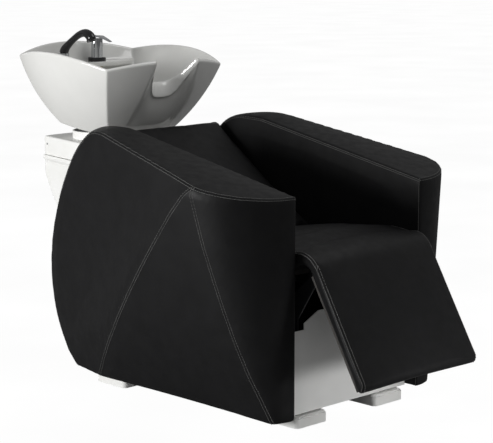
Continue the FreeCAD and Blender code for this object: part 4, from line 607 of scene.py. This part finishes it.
def crown_mm(x, run, z):
    """How high the padding stands between the inner and the outer edge of the top."""
    share = min(1.0, max(0.0, outward(x, run, z)))
    height = 5 * eased(run / 300) + 5 * eased((run - 560) / 160)
    return 4 * share * (1 - share) * height * upper(z)


def seam_runs(z):
    """Where the toe seam and the heel seam would be at a height if they were straight."""
    share = (CORNER_Z - z) / (CORNER_Z - BOARD_Z)
    return CORNER_RUN - TOE_SHIFT * share, CORNER_RUN + HEEL_SHIFT * share


def seam_bows(z):
    """How far the toe seam and the heel seam bow out at a height."""
    heights, heel, toe = zip(*ARM_BOWS)
    return float(np.interp(z, heights, toe)), float(np.interp(z, heights, heel))


def bow_mm(run, z):
    """How far the outer panels of the arm follow the bowed seams."""
    z += max(0.0, CORNER_RUN - run) * TOP_RISE
    toe_run, heel_run = seam_runs(z)
    toe, heel = seam_bows(z)
    return float(np.interp(run, (0, toe_run, heel_run + 0.1, heel_run + 260), (0, toe, heel, 0)))


def arm_seams(side):
    """Seam lines of one arm; side is 1 for the right and -1 for the left."""

    def spot(x, run, z):
        return at(side * x, run, z)

    def edge(x, run, z):
        """A place on the inner or outer edge of the leaning top."""
        lean = lean_mm(x, run, z)
        return spot(x, run + lean, z + lean)

    toe = []
    heel = []
    for z in (686, 673, 660, 632, 604, 566, 529, 485, 442, 398, 354, 310, 267, 223, 180, 145, 110, 73, 36):
        x = side_panel_x(z)
        toe_run, heel_run = seam_runs(z)
        toe_bow, heel_bow = seam_bows(z)
        toe.append(spot(x + BOW_OUT * toe_bow, toe_run + BOW_BACK * toe_bow, z))
        heel.append(spot(x + BOW_OUT * heel_bow, heel_run + BOW_BACK * heel_bow, z))
    front = []
    for index in range(13):
        angle = index / 12 * math.pi / 2
        run = CORNER_RUN * (1 - math.cos(angle))
        front.append(spot(INNER_X + (CORNER_X - INNER_X) * math.sin(angle), run, top_z(run)))
    top = [spot(rear_plane_x(run, top_z(run)), run, top_z(run)) for run in (165, 330, 500, 645)]
    rear = smooth_line([edge(rear_plane_x(run, z), run, z) for run, z in ARM_REAR], 5)
    inner_top = [spot(INNER_X, run, top_z(run)) for run in (2, 160, 320, 480, 580)]
    inner_top += smooth_line([edge(INNER_X, run, z) for run, z in ARM_REAR], 5)
    return {
        "heel": dense_line(smooth_line(heel, 3)),
        "toe": dense_line(smooth_line(toe, 3)),
        "front": dense_line(front),
        "top": dense_line(top + rear[1:]),
        "inner": dense_line(inner_top),
        "inner_front": dense_line([spot(INNER_X, 0, 38), spot(INNER_X, 0, 650)]),
    }


def levelled(offset):
    """Takes the small steps of a remeshed panel out: an offset from its plane, straightened near nought."""
    size = abs(offset)
    if size >= 8:
        return offset
    return math.copysign(max(0.0, size - 2) * 8 / 6, offset)


def on_panels(x, run, z):
    """The same place with the flat top and the outer panels of the arm made truly flat."""
    if run < 640:
        z = top_z(run) + levelled(z - top_z(run))
    toe_run, heel_run = seam_runs(min(z, CORNER_Z))
    if z > CORNER_Z or run > heel_run:
        panel = rear_plane_x(run, z)
    elif run > toe_run:
        panel = side_panel_x(z)
    else:
        return x, z
    return panel + levelled(x - panel), z


def arm_mesh():
    """The right arm with its leaning top, swollen a little between its seams."""
    mesh = rounded(rounded(NODES["arm_right"].data.copy(), 4, 16), 7, 3)
    values = coordinates(mesh) / MM
    for spot in values:
        x, run, z = spot[0], spot[1] - FRONT, spot[2]
        x, z = on_panels(x, run, z)
        bow = bow_mm(run, z) * eased((x - INNER_X) / 60)
        x += BOW_OUT * bow
        run += BOW_BACK * bow
        crown = crown_mm(x, run, z)
        turn = eased((run - 600) / 200)
        run += 0.7 * crown * turn
        z += (1 - 0.3 * turn) * crown
        lean = lean_mm(x, run, z)
        spot[:] = x, run + lean + FRONT, z + lean
    set_coordinates(mesh, values * MM)
    mesh = stuffed(mesh, 2.0, 4.5, list(arm_seams(1).values()))
    return finer(mesh)


def dress_arms():
    """Covers and stitches the right arm and its mirror image."""
    right = arm_mesh()
    left = right.copy()
    set_coordinates(left, coordinates(left) * (-1, 1, 1))
    left.flip_normals()
    for name, mesh, side in (("arm_right", right, 1), ("arm_left", left, -1)):
        piece = new_piece(name + "_cover", mesh, "leather", "chair")
        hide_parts(name)
        bpy.context.view_layer.update()
        seams = arm_seams(side)
        inner = seams.pop("inner")
        inner_front = seams.pop("inner_front")
        below = [spot - Vector((0, 0, 6.5 * MM)) for spot in inner]
        behind = [spot + Vector((0, 6 * MM, 0)) for spot in inner_front]
        thread_rows(name + "_stitches", list(seams.values()), piece, "chair")
        thread_rows(name + "_inner_stitches", [below], piece, "chair", 5.0)
        thread_rows(name + "_front_stitches", [behind], piece, "chair", 0.0)


# Seat, leg rest and backrest

SEAT_HALF = 254
LEG_HALF = 245
SEAT_REAR_RUN = 417
LEG_LENGTH = 334
# Where the leather starts to turn over the knee and where it lies on the leg rest, in degrees
KNEE_START = 72
KNEE_END = 149.8
LEG_DOWN = Vector((0, -math.cos(LEG_SLOPE), -math.sin(LEG_SLOPE)))
LEG_OUT = Vector((0, -math.sin(LEG_SLOPE), math.cos(LEG_SLOPE)))


def pad_ring(origin, up, half, low, high, crown, corner=14.0):
    """Section of a cushion: crowned top, rounded corners and sides drawn in above and below."""
    spots = []
    for index in range(33):
        share = index / 16 - 1
        x = (half - corner * 0.6 - 3) * share
        spots.append((x, high + crown * (1 - share * share)))
    side = []
    for angle in (20, 45, 70, 90):
        turn = math.radians(angle)
        side.append((half - corner + corner * math.sin(turn), high - corner + corner * math.cos(turn)))
    side += [(half, (low + high) / 2), (half - 2, low + 5), (half - 7, low)]
    below = [((half - 7) * (1 - index / 6), low) for index in range(1, 12)]
    spots += side + below + [(-x, out) for x, out in reversed(side)]
    return [origin + Vector((x * MM, 0, 0)) + up * (out * MM) for x, out in spots]


def leg_spot(side, length, rise, half):
    """A place on one side of the leg rest: down from the knee's centre and out from it."""
    knee = at(0, KNEE_RUN, KNEE_Z)
    return knee + LEG_DOWN * (length * MM) + LEG_OUT * (rise * MM) + Vector((side * half * MM, 0, 0))


def seat_and_leg_rings():
    """Sections from the rear of the seat over the knee and down the leg rest."""
    rings = []
    up = Vector((0, 0, 1))
    for index in range(24):
        share = index / 23
        run = SEAT_REAR_RUN - (SEAT_REAR_RUN - 70) * share
        high = 469 + 41 * (SEAT_REAR_RUN - run) / 317 if run > 100 else 510 - 2 * (100 - run) / 30
        low = 437 if run < 104 else 431 - 0.117 * (run - 104)
        crown = 18 * (0.35 + 0.65 * math.sin(math.pi * min(1, share * 0.78 + 0.04)))
        rings.append(pad_ring(at(0, run, 0), up, SEAT_HALF, low, high, crown))
    knee = at(0, KNEE_RUN, KNEE_Z)
    for index in range(12):
        share = index / 11
        angle = math.radians(KNEE_START + (KNEE_END - KNEE_START) * share)
        out = Vector((0, math.cos(angle), math.sin(angle)))
        half = SEAT_HALF - (SEAT_HALF - LEG_HALF) * share
        rings.append(pad_ring(knee, out, half, 32, 73 - share, 12 + 4 * share))
    for index in range(1, 27):
        share = index / 26
        crown = 16 * (1 - 0.6 * share**3)
        place = knee + LEG_DOWN * (LEG_LENGTH * share * MM)
        rings.append(pad_ring(place, LEG_OUT, LEG_HALF, 30, 72, crown))
    for angle in (20, 40, 60, 78, 90):
        turn = math.radians(angle)
        reach = LEG_LENGTH + 19 * math.sin(turn)
        high = 72 - 20 * (1 - math.cos(turn))
        low = 30 + 6 * (1 - math.cos(turn))
        half = LEG_HALF - 8 * (1 - math.cos(turn))
        rings.append(pad_ring(knee + LEG_DOWN * (reach * MM), LEG_OUT, half, low, high, 6))
    return rings


def knee_seams(side):
    """Long seam where the face of seat and leg rest meets their side panel."""
    seam = []
    for run, z in ((300, 490), (200, 500), (100, 509), (60, 508)):
        seam.append(at(side * 250, run, z))
    knee = at(0, KNEE_RUN, KNEE_Z)
    for angle in range(85, 150, 8):
        turn = math.radians(angle)
        out = Vector((0, math.cos(turn), math.sin(turn)))
        seam.append(knee + out * (71 * MM) + Vector((side * 245 * MM, 0, 0)))
    for length in (0, 60, 140, 220, 300, LEG_LENGTH):
        seam.append(leg_spot(side, length, 71, 241))
    seam.append(leg_spot(side, 352, 52, 238))
    return dense_line(smooth_line(seam, 4))


def dress_seat():
    """One run of leather over the seat, the knee and the leg rest, bending at the knee."""
    mesh = rounded(ring_strip(seat_and_leg_rings()), 7, 2)
    seams = [knee_seams(1), knee_seams(-1)]
    mesh = finer(stuffed(shrunk(mesh, 2.0), 3.0, 6.0, seams))
    piece = new_piece("seat_and_legrest_cover", mesh, "leather", None)
    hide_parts("seat_cushion", "legrest_pad")
    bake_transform(piece)
    bpy.context.view_layer.update()
    thread = thread_rows("seat_and_legrest_stitches", seams, piece, None)
    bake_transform(thread)
    return piece


def dress_backrest():
    """The backrest cushion, swollen under its cover."""
    mesh = rounded(NODES["backrest_cushion"].data.copy(), 7, 4)
    mesh = finer(stuffed(shrunk(mesh, 4.0), 4.0, 10.0))
    piece = new_piece("backrest_cover", mesh, "leather", "chair")
    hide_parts("backrest_cushion")
    return piece


def dress_shell():
    """The padded panel behind the backrest, which reaches out towards the arms."""
    mesh = rounded(NODES["back_shell"].data.copy(), 8, 3)
    set_coordinates(mesh, coordinates(mesh) * (1.06, 1, 1))
    piece = new_piece("back_shell_cover", mesh, "leather", "chair")
    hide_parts("back_shell")
    return piece


# Basin

BASIN = {
    "half": 235.0,
    "rear": 225.0,
    "front": 204.0,
    "side_bulge": 43.0,
    "rear_bulge": 50.0,
    "rear_z": 977.5,
    "front_z": 949.5,
    "side_arch": 28.0,
    "rear_arch": 30.0,
    "lip_x": 86.0,
    "lip_y": 262.0,
    "lip_z": 971.0,
    "undercut": 7.0,
    "neck_y": 183.0,
    "neck_z": 897.5,
    "neck_lap": 30.0,
    "rim": 14.0,
    "lip_rim": 20.0,
    "neck_rim": 36.0,
    "foot_front_half": 130.0,
    "foot_rear_half": 170.0,
    "foot_neck_half": 95.0,
    "foot_front": 80.0,
    "foot_rear": 105.0,
    "foot_front_z": 730.5,
    "foot_rear_z": 762.5,
    "floor": 22.0,
    "shelf_z": 942.5,
    "shelf": 16.0,
    "shelf_front": 158.0,
    "shelf_half": 118.0,
}
FOOT_SLOPE = math.atan2(
    BASIN["foot_rear_z"] - BASIN["foot_front_z"],
    BASIN["foot_front"] + BASIN["foot_rear"],
)


# Each part of the rim, at a share t of its length, gives the top of the rolled rim and the edge of the foot
# below it, the width of the roll, how much further the wall bulges and how far the roll laps over outside.


def foot_z(y):
    """Height of the slanting foot of the basin."""
    return BASIN["foot_front_z"] + (y + BASIN["foot_front"]) * math.tan(FOOT_SLOPE)


def swell(t):
    """Nothing at both ends and one in the middle."""
    return 4 * t * (1 - t)


def basin_side(t):
    """One side, from the front wing to the rear corner."""
    b = BASIN
    x = b["half"] + b["side_bulge"] * swell(t)
    y = -b["front"] + (b["front"] + b["rear"]) * t
    z = b["front_z"] + (b["rear_z"] - b["front_z"]) * t + b["side_arch"] * swell(t)
    foot_x = b["foot_front_half"] * (1 - t) + b["foot_rear_half"] * t + 12 * swell(t)
    foot_y = -b["foot_front"] + (b["foot_front"] + b["foot_rear"]) * t
    return (x, y, z), (foot_x, foot_y), b["rim"], 0.0, 0.0


def basin_rear(t):
    """The arched rear, from one corner to the other."""
    b = BASIN
    share = 1 - 2 * t
    rim = (
        b["half"] * share,
        b["rear"] + b["rear_bulge"] * swell(t),
        b["rear_z"] + b["rear_arch"] * swell(t),
    )
    return rim, (b["foot_rear_half"] * share, b["foot_rear"] + 30 * swell(t)), b["rim"], 40 * swell(t), 0.0


def basin_wing(t):
    """Front rim from a side to the lip beside the neck rest."""
    b = BASIN
    x = -b["half"] + (b["half"] - b["lip_x"]) * t
    y = -b["front"] - (b["lip_y"] - b["front"]) * t - 5 * swell(t)
    z = b["front_z"] + (b["lip_z"] - b["front_z"]) * t + 2 * swell(t)
    width = b["rim"] + (b["lip_rim"] - b["rim"]) * t * t
    foot = (-b["foot_front_half"] * (1 - t) - b["foot_neck_half"] * t, -b["foot_front"] - 8 * t)
    return (x, y, z), foot, width, 0.0, 0.0


def basin_neck(t):
    """The neck rest between both lips: it steps back, falls and laps over."""
    b = BASIN
    share = 1 - 2 * t
    away = abs(share)
    back = (1 - away**3.4) ** 1.25
    fall = (1 - away**4.2) ** 1.4
    rim = (
        -b["lip_x"] * share,
        -b["lip_y"] + (b["lip_y"] - b["neck_y"]) * back,
        b["lip_z"] - (b["lip_z"] - b["neck_z"]) * fall,
    )
    width = b["lip_rim"] + (b["neck_rim"] - b["lip_rim"]) * back
    return rim, (-b["foot_neck_half"] * share, -b["foot_front"] - 8), width, 0.0, b["neck_lap"] * fall**1.6


def mirrored_part(part):
    """The same part of the rim on the other side."""

    def other(t):
        (x, y, z), (foot_x, foot_y), width, extra, lap = part(t)
        return (-x, y, z), (-foot_x, foot_y), width, extra, lap

    return other


def wall_curves(rim, foot, width, extra, lap):
    """Outer and inner curves of the basin's wall and the way out from its middle."""
    radius = width / 2
    out = Vector((rim[0], rim[1], 0)).normalized()
    top = Vector(rim) - Vector((0, 0, radius + lap))
    base = Vector((foot[0], foot[1], foot_z(foot[1])))
    chord = top - base
    down = Vector((out.x * chord.z, out.y * chord.z, -(chord.x * out.x + chord.y * out.y))).normalized()
    pull = (top + base) / 2 + down * (30 + extra)
    inner = top - out * width + Vector((0, 0, lap))
    inner_base = base - out * BASIN["floor"]
    inner_base.z = foot_z(inner_base.y) + BASIN["floor"]
    inner_pull = pull - out * BASIN["floor"] + Vector((0, 0, BASIN["rim"]))
    return (base, pull, top), (inner, inner_pull, inner_base), out, radius


def bent(poles, t):
    """A place on the curve that three poles pull."""
    first, second, third = poles
    return first * (1 - t) ** 2 + second * (2 * t * (1 - t)) + third * (t * t)


def wall_ring(part, t):
    """Points up the outside, over the rolled rim and down the inside."""
    outer, inner, out, radius = wall_curves(*part(t))
    middle = inner[0] + out * radius
    lap = middle.z - outer[2].z
    under = BASIN["undercut"] * min(1.0, lap / 8)
    base, pull, top = outer
    wall = (base, pull - out * (under / 2), top - out * under + Vector((0, 0, under / 3)))
    points = [bent(wall, index / 22) for index in range(23)]
    points += [top - out * (under * 0.4), top]
    for index in range(1, 12):
        angle = math.pi * index / 12
        rise = Vector((0, 0, radius * math.sin(angle)))
        if index < 6:
            rise -= Vector((0, 0, lap * (1 - math.sin(angle))))
        points.append(middle + out * (radius * math.cos(angle)) + rise)
    points += [bent(inner, index / 22) for index in range(23)]
    return points


def basin_columns():
    """Wall sections once round the rim."""
    parts = (
        (basin_side, 44, 0),
        (basin_rear, 52, 0),
        (mirrored_part(basin_side), 44, 1),
        (basin_wing, 20, 0),
        (basin_neck, 44, 0),
        (mirrored_part(basin_wing), 20, 1),
    )
    columns = []
    for part, count, backwards in parts:
        for index in range(count):
            t = index / count
            columns.append(wall_ring(part, 1 - t if backwards else t))
    return columns


def shelf_spot(part, t):
    """Place on the wall's inner face at the middle of the tap shelf, a little way into the wall."""
    inner, out = wall_curves(*part(t))[1:3]
    low, high = 0.0, 1.0
    middle = BASIN["shelf_z"] - BASIN["shelf"] / 2
    for _ in range(30):
        half = (low + high) / 2
        if bent(inner, half).z > middle:
            low = half
        else:
            high = half
    return bent(inner, low) + out * 7


def shelf_mesh():
    """The tap shelf as a plate that is let into the rear wall."""
    right = [(BASIN["shelf_half"] * share, BASIN["shelf_front"]) for share in (0.5, 0.9)]
    right.append((BASIN["shelf_half"] + 8, BASIN["shelf_front"] + 5))
    for index in range(31):
        spot = shelf_spot(basin_rear, index / 60)
        right.append((spot.x, spot.y))
    outline = right + [(-x, y) for x, y in reversed(right[:-1])]
    top = BASIN["shelf_z"]
    return ring_strip([[(x, y, z) for x, y in outline] for z in (top - BASIN["shelf"], top)])


def basin_place(mesh):
    """Moves a mesh from millimetres round the basin's middle to its place on the chair."""
    values = coordinates(mesh) * MM
    values[:, 1] += (BASIN_RUN + FRONT) * MM
    set_coordinates(mesh, values)
    return mesh


def drill(name, spot, direction, radius_mm, length_mm, start_mm):
    """A cylinder used to cut a hole."""
    direction = Vector(direction).normalized()
    side = direction.orthogonal().normalized()
    other = direction.cross(side)
    rings = []
    for reach in (start_mm, start_mm + length_mm):
        rings.append(circle(spot + direction * (reach * MM), side, other, radius_mm * MM, 48))
    tool = bpy.data.objects.new(name, ring_strip(rings))
    bpy.context.scene.collection.objects.link(tool)
    return tool


def joined(*meshes):
    vertices = []
    faces = []
    for mesh in meshes:
        base = len(vertices)
        vertices += [tuple(vertex.co) for vertex in mesh.vertices]
        faces += [tuple(base + index for index in face.vertices) for face in mesh.polygons]
    return mesh_of("joined", vertices, faces)


def drain_place():
    """Middle of the waste, in the foot in front of the basin's middle."""
    y = -46.0
    return at(0, BASIN_RUN + y, foot_z(y))


def dress_basin():
    """The ceramic ware in one piece, cut for the waste and both taps."""
    wall = ring_strip(list(zip(*basin_columns())))
    whole = basin_place(joined(wall, shelf_mesh()))
    mesh = rounded(whole, 2.6, 5)
    up = Vector((0, -math.sin(FOOT_SLOPE), math.cos(FOOT_SLOPE)))
    tools = [
        drill("drain cutter", drain_place(), up, 22, 90, -30),
        drill("recess cutter", drain_place(), up, 30.5, 30, 22),
    ]
    for x in (70, -68):
        tools.append(drill("tap hole cutter", at(x, TAP_RUN, BASIN["shelf_z"]), (0, 0, 1), 14, 60, -30))
    cuts = [("BOOLEAN", {"operation": "DIFFERENCE", "object": tool, "solver": "EXACT"}) for tool in tools]
    mesh = with_modifiers(mesh, *cuts)
    for tool in tools:
        bpy.data.objects.remove(tool)
    piece = new_piece("basin_ware", mesh, "ceramic", "basin")
    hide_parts("basin_bowl")
    return piece


# Taps


def dress_fitting(name, node, finish, body, voxel_mm, passes, inset_mm=0.0):
    """A metal or moulded fitting with the soft edges that casting and polishing leave."""
    mesh = shrunk(rounded(NODES[node].data.copy(), voxel_mm, passes), inset_mm)
    piece = new_piece(name, mesh, finish, body)
    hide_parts(node)
    return piece


def dress_cover():
    """The upper cover with the fine bead that runs forward from each of its screws."""
    cover = dress_fitting("upper_cover_moulding", "column_cover_upper", "white_plastic", "chair", 3.0, 8)
    bpy.context.view_layer.update()
    tree = BVHTree.FromObject(cover, bpy.context.evaluated_depsgraph_get())
    low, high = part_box("cover_screws")
    for name, x in (("right", high[0]), ("left", low[0])):
        start = Vector((x, (low[1] + high[1]) / 2 - 5 * MM, (low[2] + high[2]) / 2 + 2 * MM))
        spots = [tree.find_nearest(start - Vector((0, step * 15 * MM, 0)))[0] for step in range(11)]
        mesh = swept_tube(spots, [0.9 * MM] * len(spots), 8)
        new_piece("cover_bead_" + name, mesh, "white_plastic", "chair")


def dress_shower():
    """Hand shower: a stem in the sleeve, a neck that leans forward and a rounded head."""
    path = (
        (1222, 949, 11),
        (1222, 971, 11),
        (1221, 974, 14),
        (1217, 983, 14.5),
        (1204, 996, 12.5),
        (1175, 1016, 10.5),
        (1140, 1035, 11),
        (1110, 1041, 13),
        (1090, 1034, 15),
        (1080, 1024, 14.5),
        (1077, 1020, 12),
    )
    places = smooth_line([at(-68, run, z) for run, z, radius in path], 5)
    widths = smooth_line([Vector((radius * MM, 0, 0)) for run, z, radius in path], 5)
    mesh = swept_tube(places, [width.x for width in widths])
    piece = new_piece("shower_handle_moulding", mesh, "gloss_black", "shower")
    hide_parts("shower_handle")


# Stage


# Where the photograph was taken from, in metres
CAMERA_PLACE = (-3.3467, -2.9463 + FRONT * MM, 1.2861)
# Name, place, what the light points at, width in metres and share of the key light's power
LIGHTS = (
    ("Key light", (-4.4, 0.9, 1.15), (0, 0.1, 0.6), 1.4, 1.0),
    ("Top light", (1.3, -1.4, 3.8), (0, 0.1, 0.6), 2.2, 0.2),
    ("Low front fill", (0.45, -2.1, 0.16), (0, -0.4, 0.04), 0.4, 0.0026),
)


def make_camera():
    """The camera of the photograph."""
    view = bpy.context.scene.bed_view
    data = bpy.data.cameras.new("Camera")
    data.lens = view.lens
    data.sensor_width = 36
    data.clip_end = 100
    camera = bpy.data.objects.new("Camera", data)
    bpy.context.scene.collection.objects.link(camera)
    camera.location = CAMERA_PLACE
    turn, tilt = math.radians(view.azimuth), math.radians(view.elevation)
    look = Vector((-math.sin(turn) * math.cos(tilt), math.cos(turn) * math.cos(tilt), -math.sin(tilt)))
    camera.rotation_mode = "QUATERNION"
    camera.rotation_quaternion = look.to_track_quat("-Z", "Y")
    bpy.context.scene.camera = camera


def soft_light(name, place, target, size, power):
    """A round soft box that points at a target."""
    data = bpy.data.lights.new(name, "AREA")
    data.shape = "DISK"
    data.size = size
    data.energy = power
    lamp = bpy.data.objects.new(name, data)
    bpy.context.scene.collection.objects.link(lamp)
    lamp.location = place
    lamp.rotation_mode = "QUATERNION"
    lamp.rotation_quaternion = (Vector(target) - Vector(place)).to_track_quat("-Z", "Y")
    return lamp


def make_floor():
    """A wide pale floor that runs out of sight."""
    size = 60.0
    corners = [(-size, -size, 0), (size, -size, 0), (size, size, 0), (-size, size, 0)]
    mesh = mesh_of("studio_floor", corners, [(0, 1, 2, 3)])
    floor = bpy.data.objects.new("studio_floor", mesh)
    bpy.context.scene.collection.objects.link(floor)
    material, tree, place = start_material("Pale studio floor")
    tone = mottled(tree, place, "#fbfbfb", "#ffffff", 900)
    seen = add_node(tree, "ShaderNodeEmission", {"Color": tone, "Strength": 1.06})
    dull = mottled(tree, place, "#a8a8a8", "#acacac", 900)
    lit = add_node(tree, "ShaderNodeBsdfDiffuse", {"Color": dull})
    path = add_node(tree, "ShaderNodeLightPath")
    # The camera sees a bright floor, and light falls on a grey one.
    seen_share = {0: path.outputs["Is Camera Ray"], 1: 0.94}
    weight = add_node(tree, "ShaderNodeMath", seen_share, operation="MULTIPLY")
    mix = add_node(
        tree,
        "ShaderNodeMixShader",
        {"Fac": weight.outputs[0], 1: lit.outputs["BSDF"], 2: seen.outputs["Emission"]},
    )
    add_node(tree, "ShaderNodeOutputMaterial", {"Surface": mix.outputs["Shader"]})
    mesh.materials.append(material)


def make_world():
    """Even light from all round."""
    world = bpy.data.worlds.new("Studio air")
    world.use_nodes = True
    tree = world.node_tree
    tree.nodes.clear()
    light = bpy.context.scene.bed_view.ambient
    background = add_node(tree, "ShaderNodeBackground", {"Color": (1, 1, 1, 1), "Strength": light})
    add_node(tree, "ShaderNodeOutputWorld", {"Surface": background.outputs["Background"]})
    bpy.context.scene.world = world


# Settings


class BedFinish(PropertyGroup):
    """Finish of the chair and the basin."""

    leather_colour: StringProperty(
        name="Leather", description="Hex colour of the leather", default="#0c0c0d"
    )
    leather_pebble: FloatProperty(
        name="Pebble", description="Size of the embossed pebbles", default=0.0022, unit="LENGTH"
    )
    ceramic_colour: StringProperty(name="Ceramic", description="Hex colour of the glaze", default="#e3e3e0")


class BedView(PropertyGroup):
    """Camera and light."""

    azimuth: FloatProperty(name="Azimuth", description="Direction of view in degrees", default=-44.566)
    elevation: FloatProperty(name="Elevation", description="Downward look in degrees", default=9.301)
    lens: FloatProperty(name="Lens", description="Focal length in millimetres", default=118.97)
    ambient: FloatProperty(name="Ambient", description="Light from all round", default=0.32)
    key_power: FloatProperty(
        name="Key light", description="Power of the light from the left", default=165.0
    )


# Operators


class BED_OT_finishes(Operator):
    """Makes every finish and gives each shown node its own"""

    bl_idname = "bed.finishes"
    bl_label = "Finishes"

    def execute(self, context):
        make_finishes()
        for entry in frame["record"]["subparts"]:
            node = NODES[entry["node"]]
            node.data.materials.clear()
            node.data.materials.append(FINISHES[entry["material_slot"]])
        return {"FINISHED"}


class BED_OT_arms(Operator):
    """Covers both arms with leather and stitches their seams"""

    bl_idname = "bed.arms"
    bl_label = "Arms"

    def execute(self, context):
        dress_arms()
        return {"FINISHED"}


class BED_OT_seat(Operator):
    """Upholsters the seat and the leg rest in one run of leather"""

    bl_idname = "bed.seat"
    bl_label = "Seat and leg rest"

    def execute(self, context):
        dress_seat()
        return {"FINISHED"}


class BED_OT_back(Operator):
    """Upholsters the backrest and the panel behind it"""

    bl_idname = "bed.back"
    bl_label = "Backrest and rear panel"

    def execute(self, context):
        dress_backrest()
        dress_shell()
        return {"FINISHED"}


class BED_OT_basin(Operator):
    """Casts the ceramic basin with its rolled neck rest and tap shelf"""

    bl_idname = "bed.basin"
    bl_label = "Basin"

    def execute(self, context):
        dress_basin()
        return {"FINISHED"}


class BED_OT_covers(Operator):
    """Rounds the edges of the moulded column covers and adds the beads of the upper one"""

    bl_idname = "bed.covers"
    bl_label = "Covers"

    def execute(self, context):
        dress_cover()
        dress_fitting("lower_cover_moulding", "column_cover_lower", "white_plastic", "chair", 3.0, 8)
        return {"FINISHED"}


class BED_OT_taps(Operator):
    """Polishes the mixer's lever and the hand shower"""

    bl_idname = "bed.taps"
    bl_label = "Taps"

    def execute(self, context):
        dress_fitting("mixer_lever_cast", "mixer_lever", "chrome", "lever", 0.9, 4, 0.5)
        dress_shower()
        return {"FINISHED"}


class BED_OT_stage(Operator):
    """Sets the floor, the light and the camera"""

    bl_idname = "bed.stage"
    bl_label = "Stage"

    def execute(self, context):
        make_world()
        make_floor()
        power = context.scene.bed_view.key_power
        for name, place, target, size, share in LIGHTS:
            low = soft_light(name, place, target, size, power * share)
        # The last one lights only what stands low at the front, and stays out of the picture.
        low.data.spread = math.radians(32)
        low.visible_camera = False
        make_camera()
        context.scene.view_settings.view_transform = "Standard"
        return {"FINISHED"}


class BED_PT_panel(Panel):
    """Lists the pieces of the hair washing bed"""

    bl_idname = "BED_PT_panel"
    bl_label = "Hair Washing Bed"
    bl_space_type = "VIEW_3D"
    bl_region_type = "UI"
    bl_category = "Hair Washing Bed"

    def draw(self, context):
        scene = context.scene
        for name in ("leather_colour", "leather_pebble", "ceramic_colour"):
            self.layout.prop(scene.bed_finish, name)
        for name in ("azimuth", "elevation", "lens", "ambient", "key_power"):
            self.layout.prop(scene.bed_view, name)
        for step in STEPS:
            self.layout.operator(step.bl_idname)


STEPS = (
    BED_OT_finishes,
    BED_OT_arms,
    BED_OT_seat,
    BED_OT_back,
    BED_OT_basin,
    BED_OT_covers,
    BED_OT_taps,
    BED_OT_stage,
)
CLASSES = (BedFinish, BedView) + STEPS + (BED_PT_panel,)


def register():
    for kind in CLASSES:
        bpy.utils.register_class(kind)
    bpy.types.Scene.bed_finish = PointerProperty(type=BedFinish)
    bpy.types.Scene.bed_view = PointerProperty(type=BedView)


def unregister():
    del bpy.types.Scene.bed_finish
    del bpy.types.Scene.bed_view
    for kind in reversed(CLASSES):
        bpy.utils.unregister_class(kind)


def main():
    register()
    bpy.ops.bed.finishes()
    bpy.ops.bed.arms()
    bpy.ops.bed.seat()
    bpy.ops.bed.back()
    bpy.ops.bed.basin()
    bpy.ops.bed.covers()
    bpy.ops.bed.taps()
    bpy.ops.bed.stage()


if __name__ == "__main__":
    main()
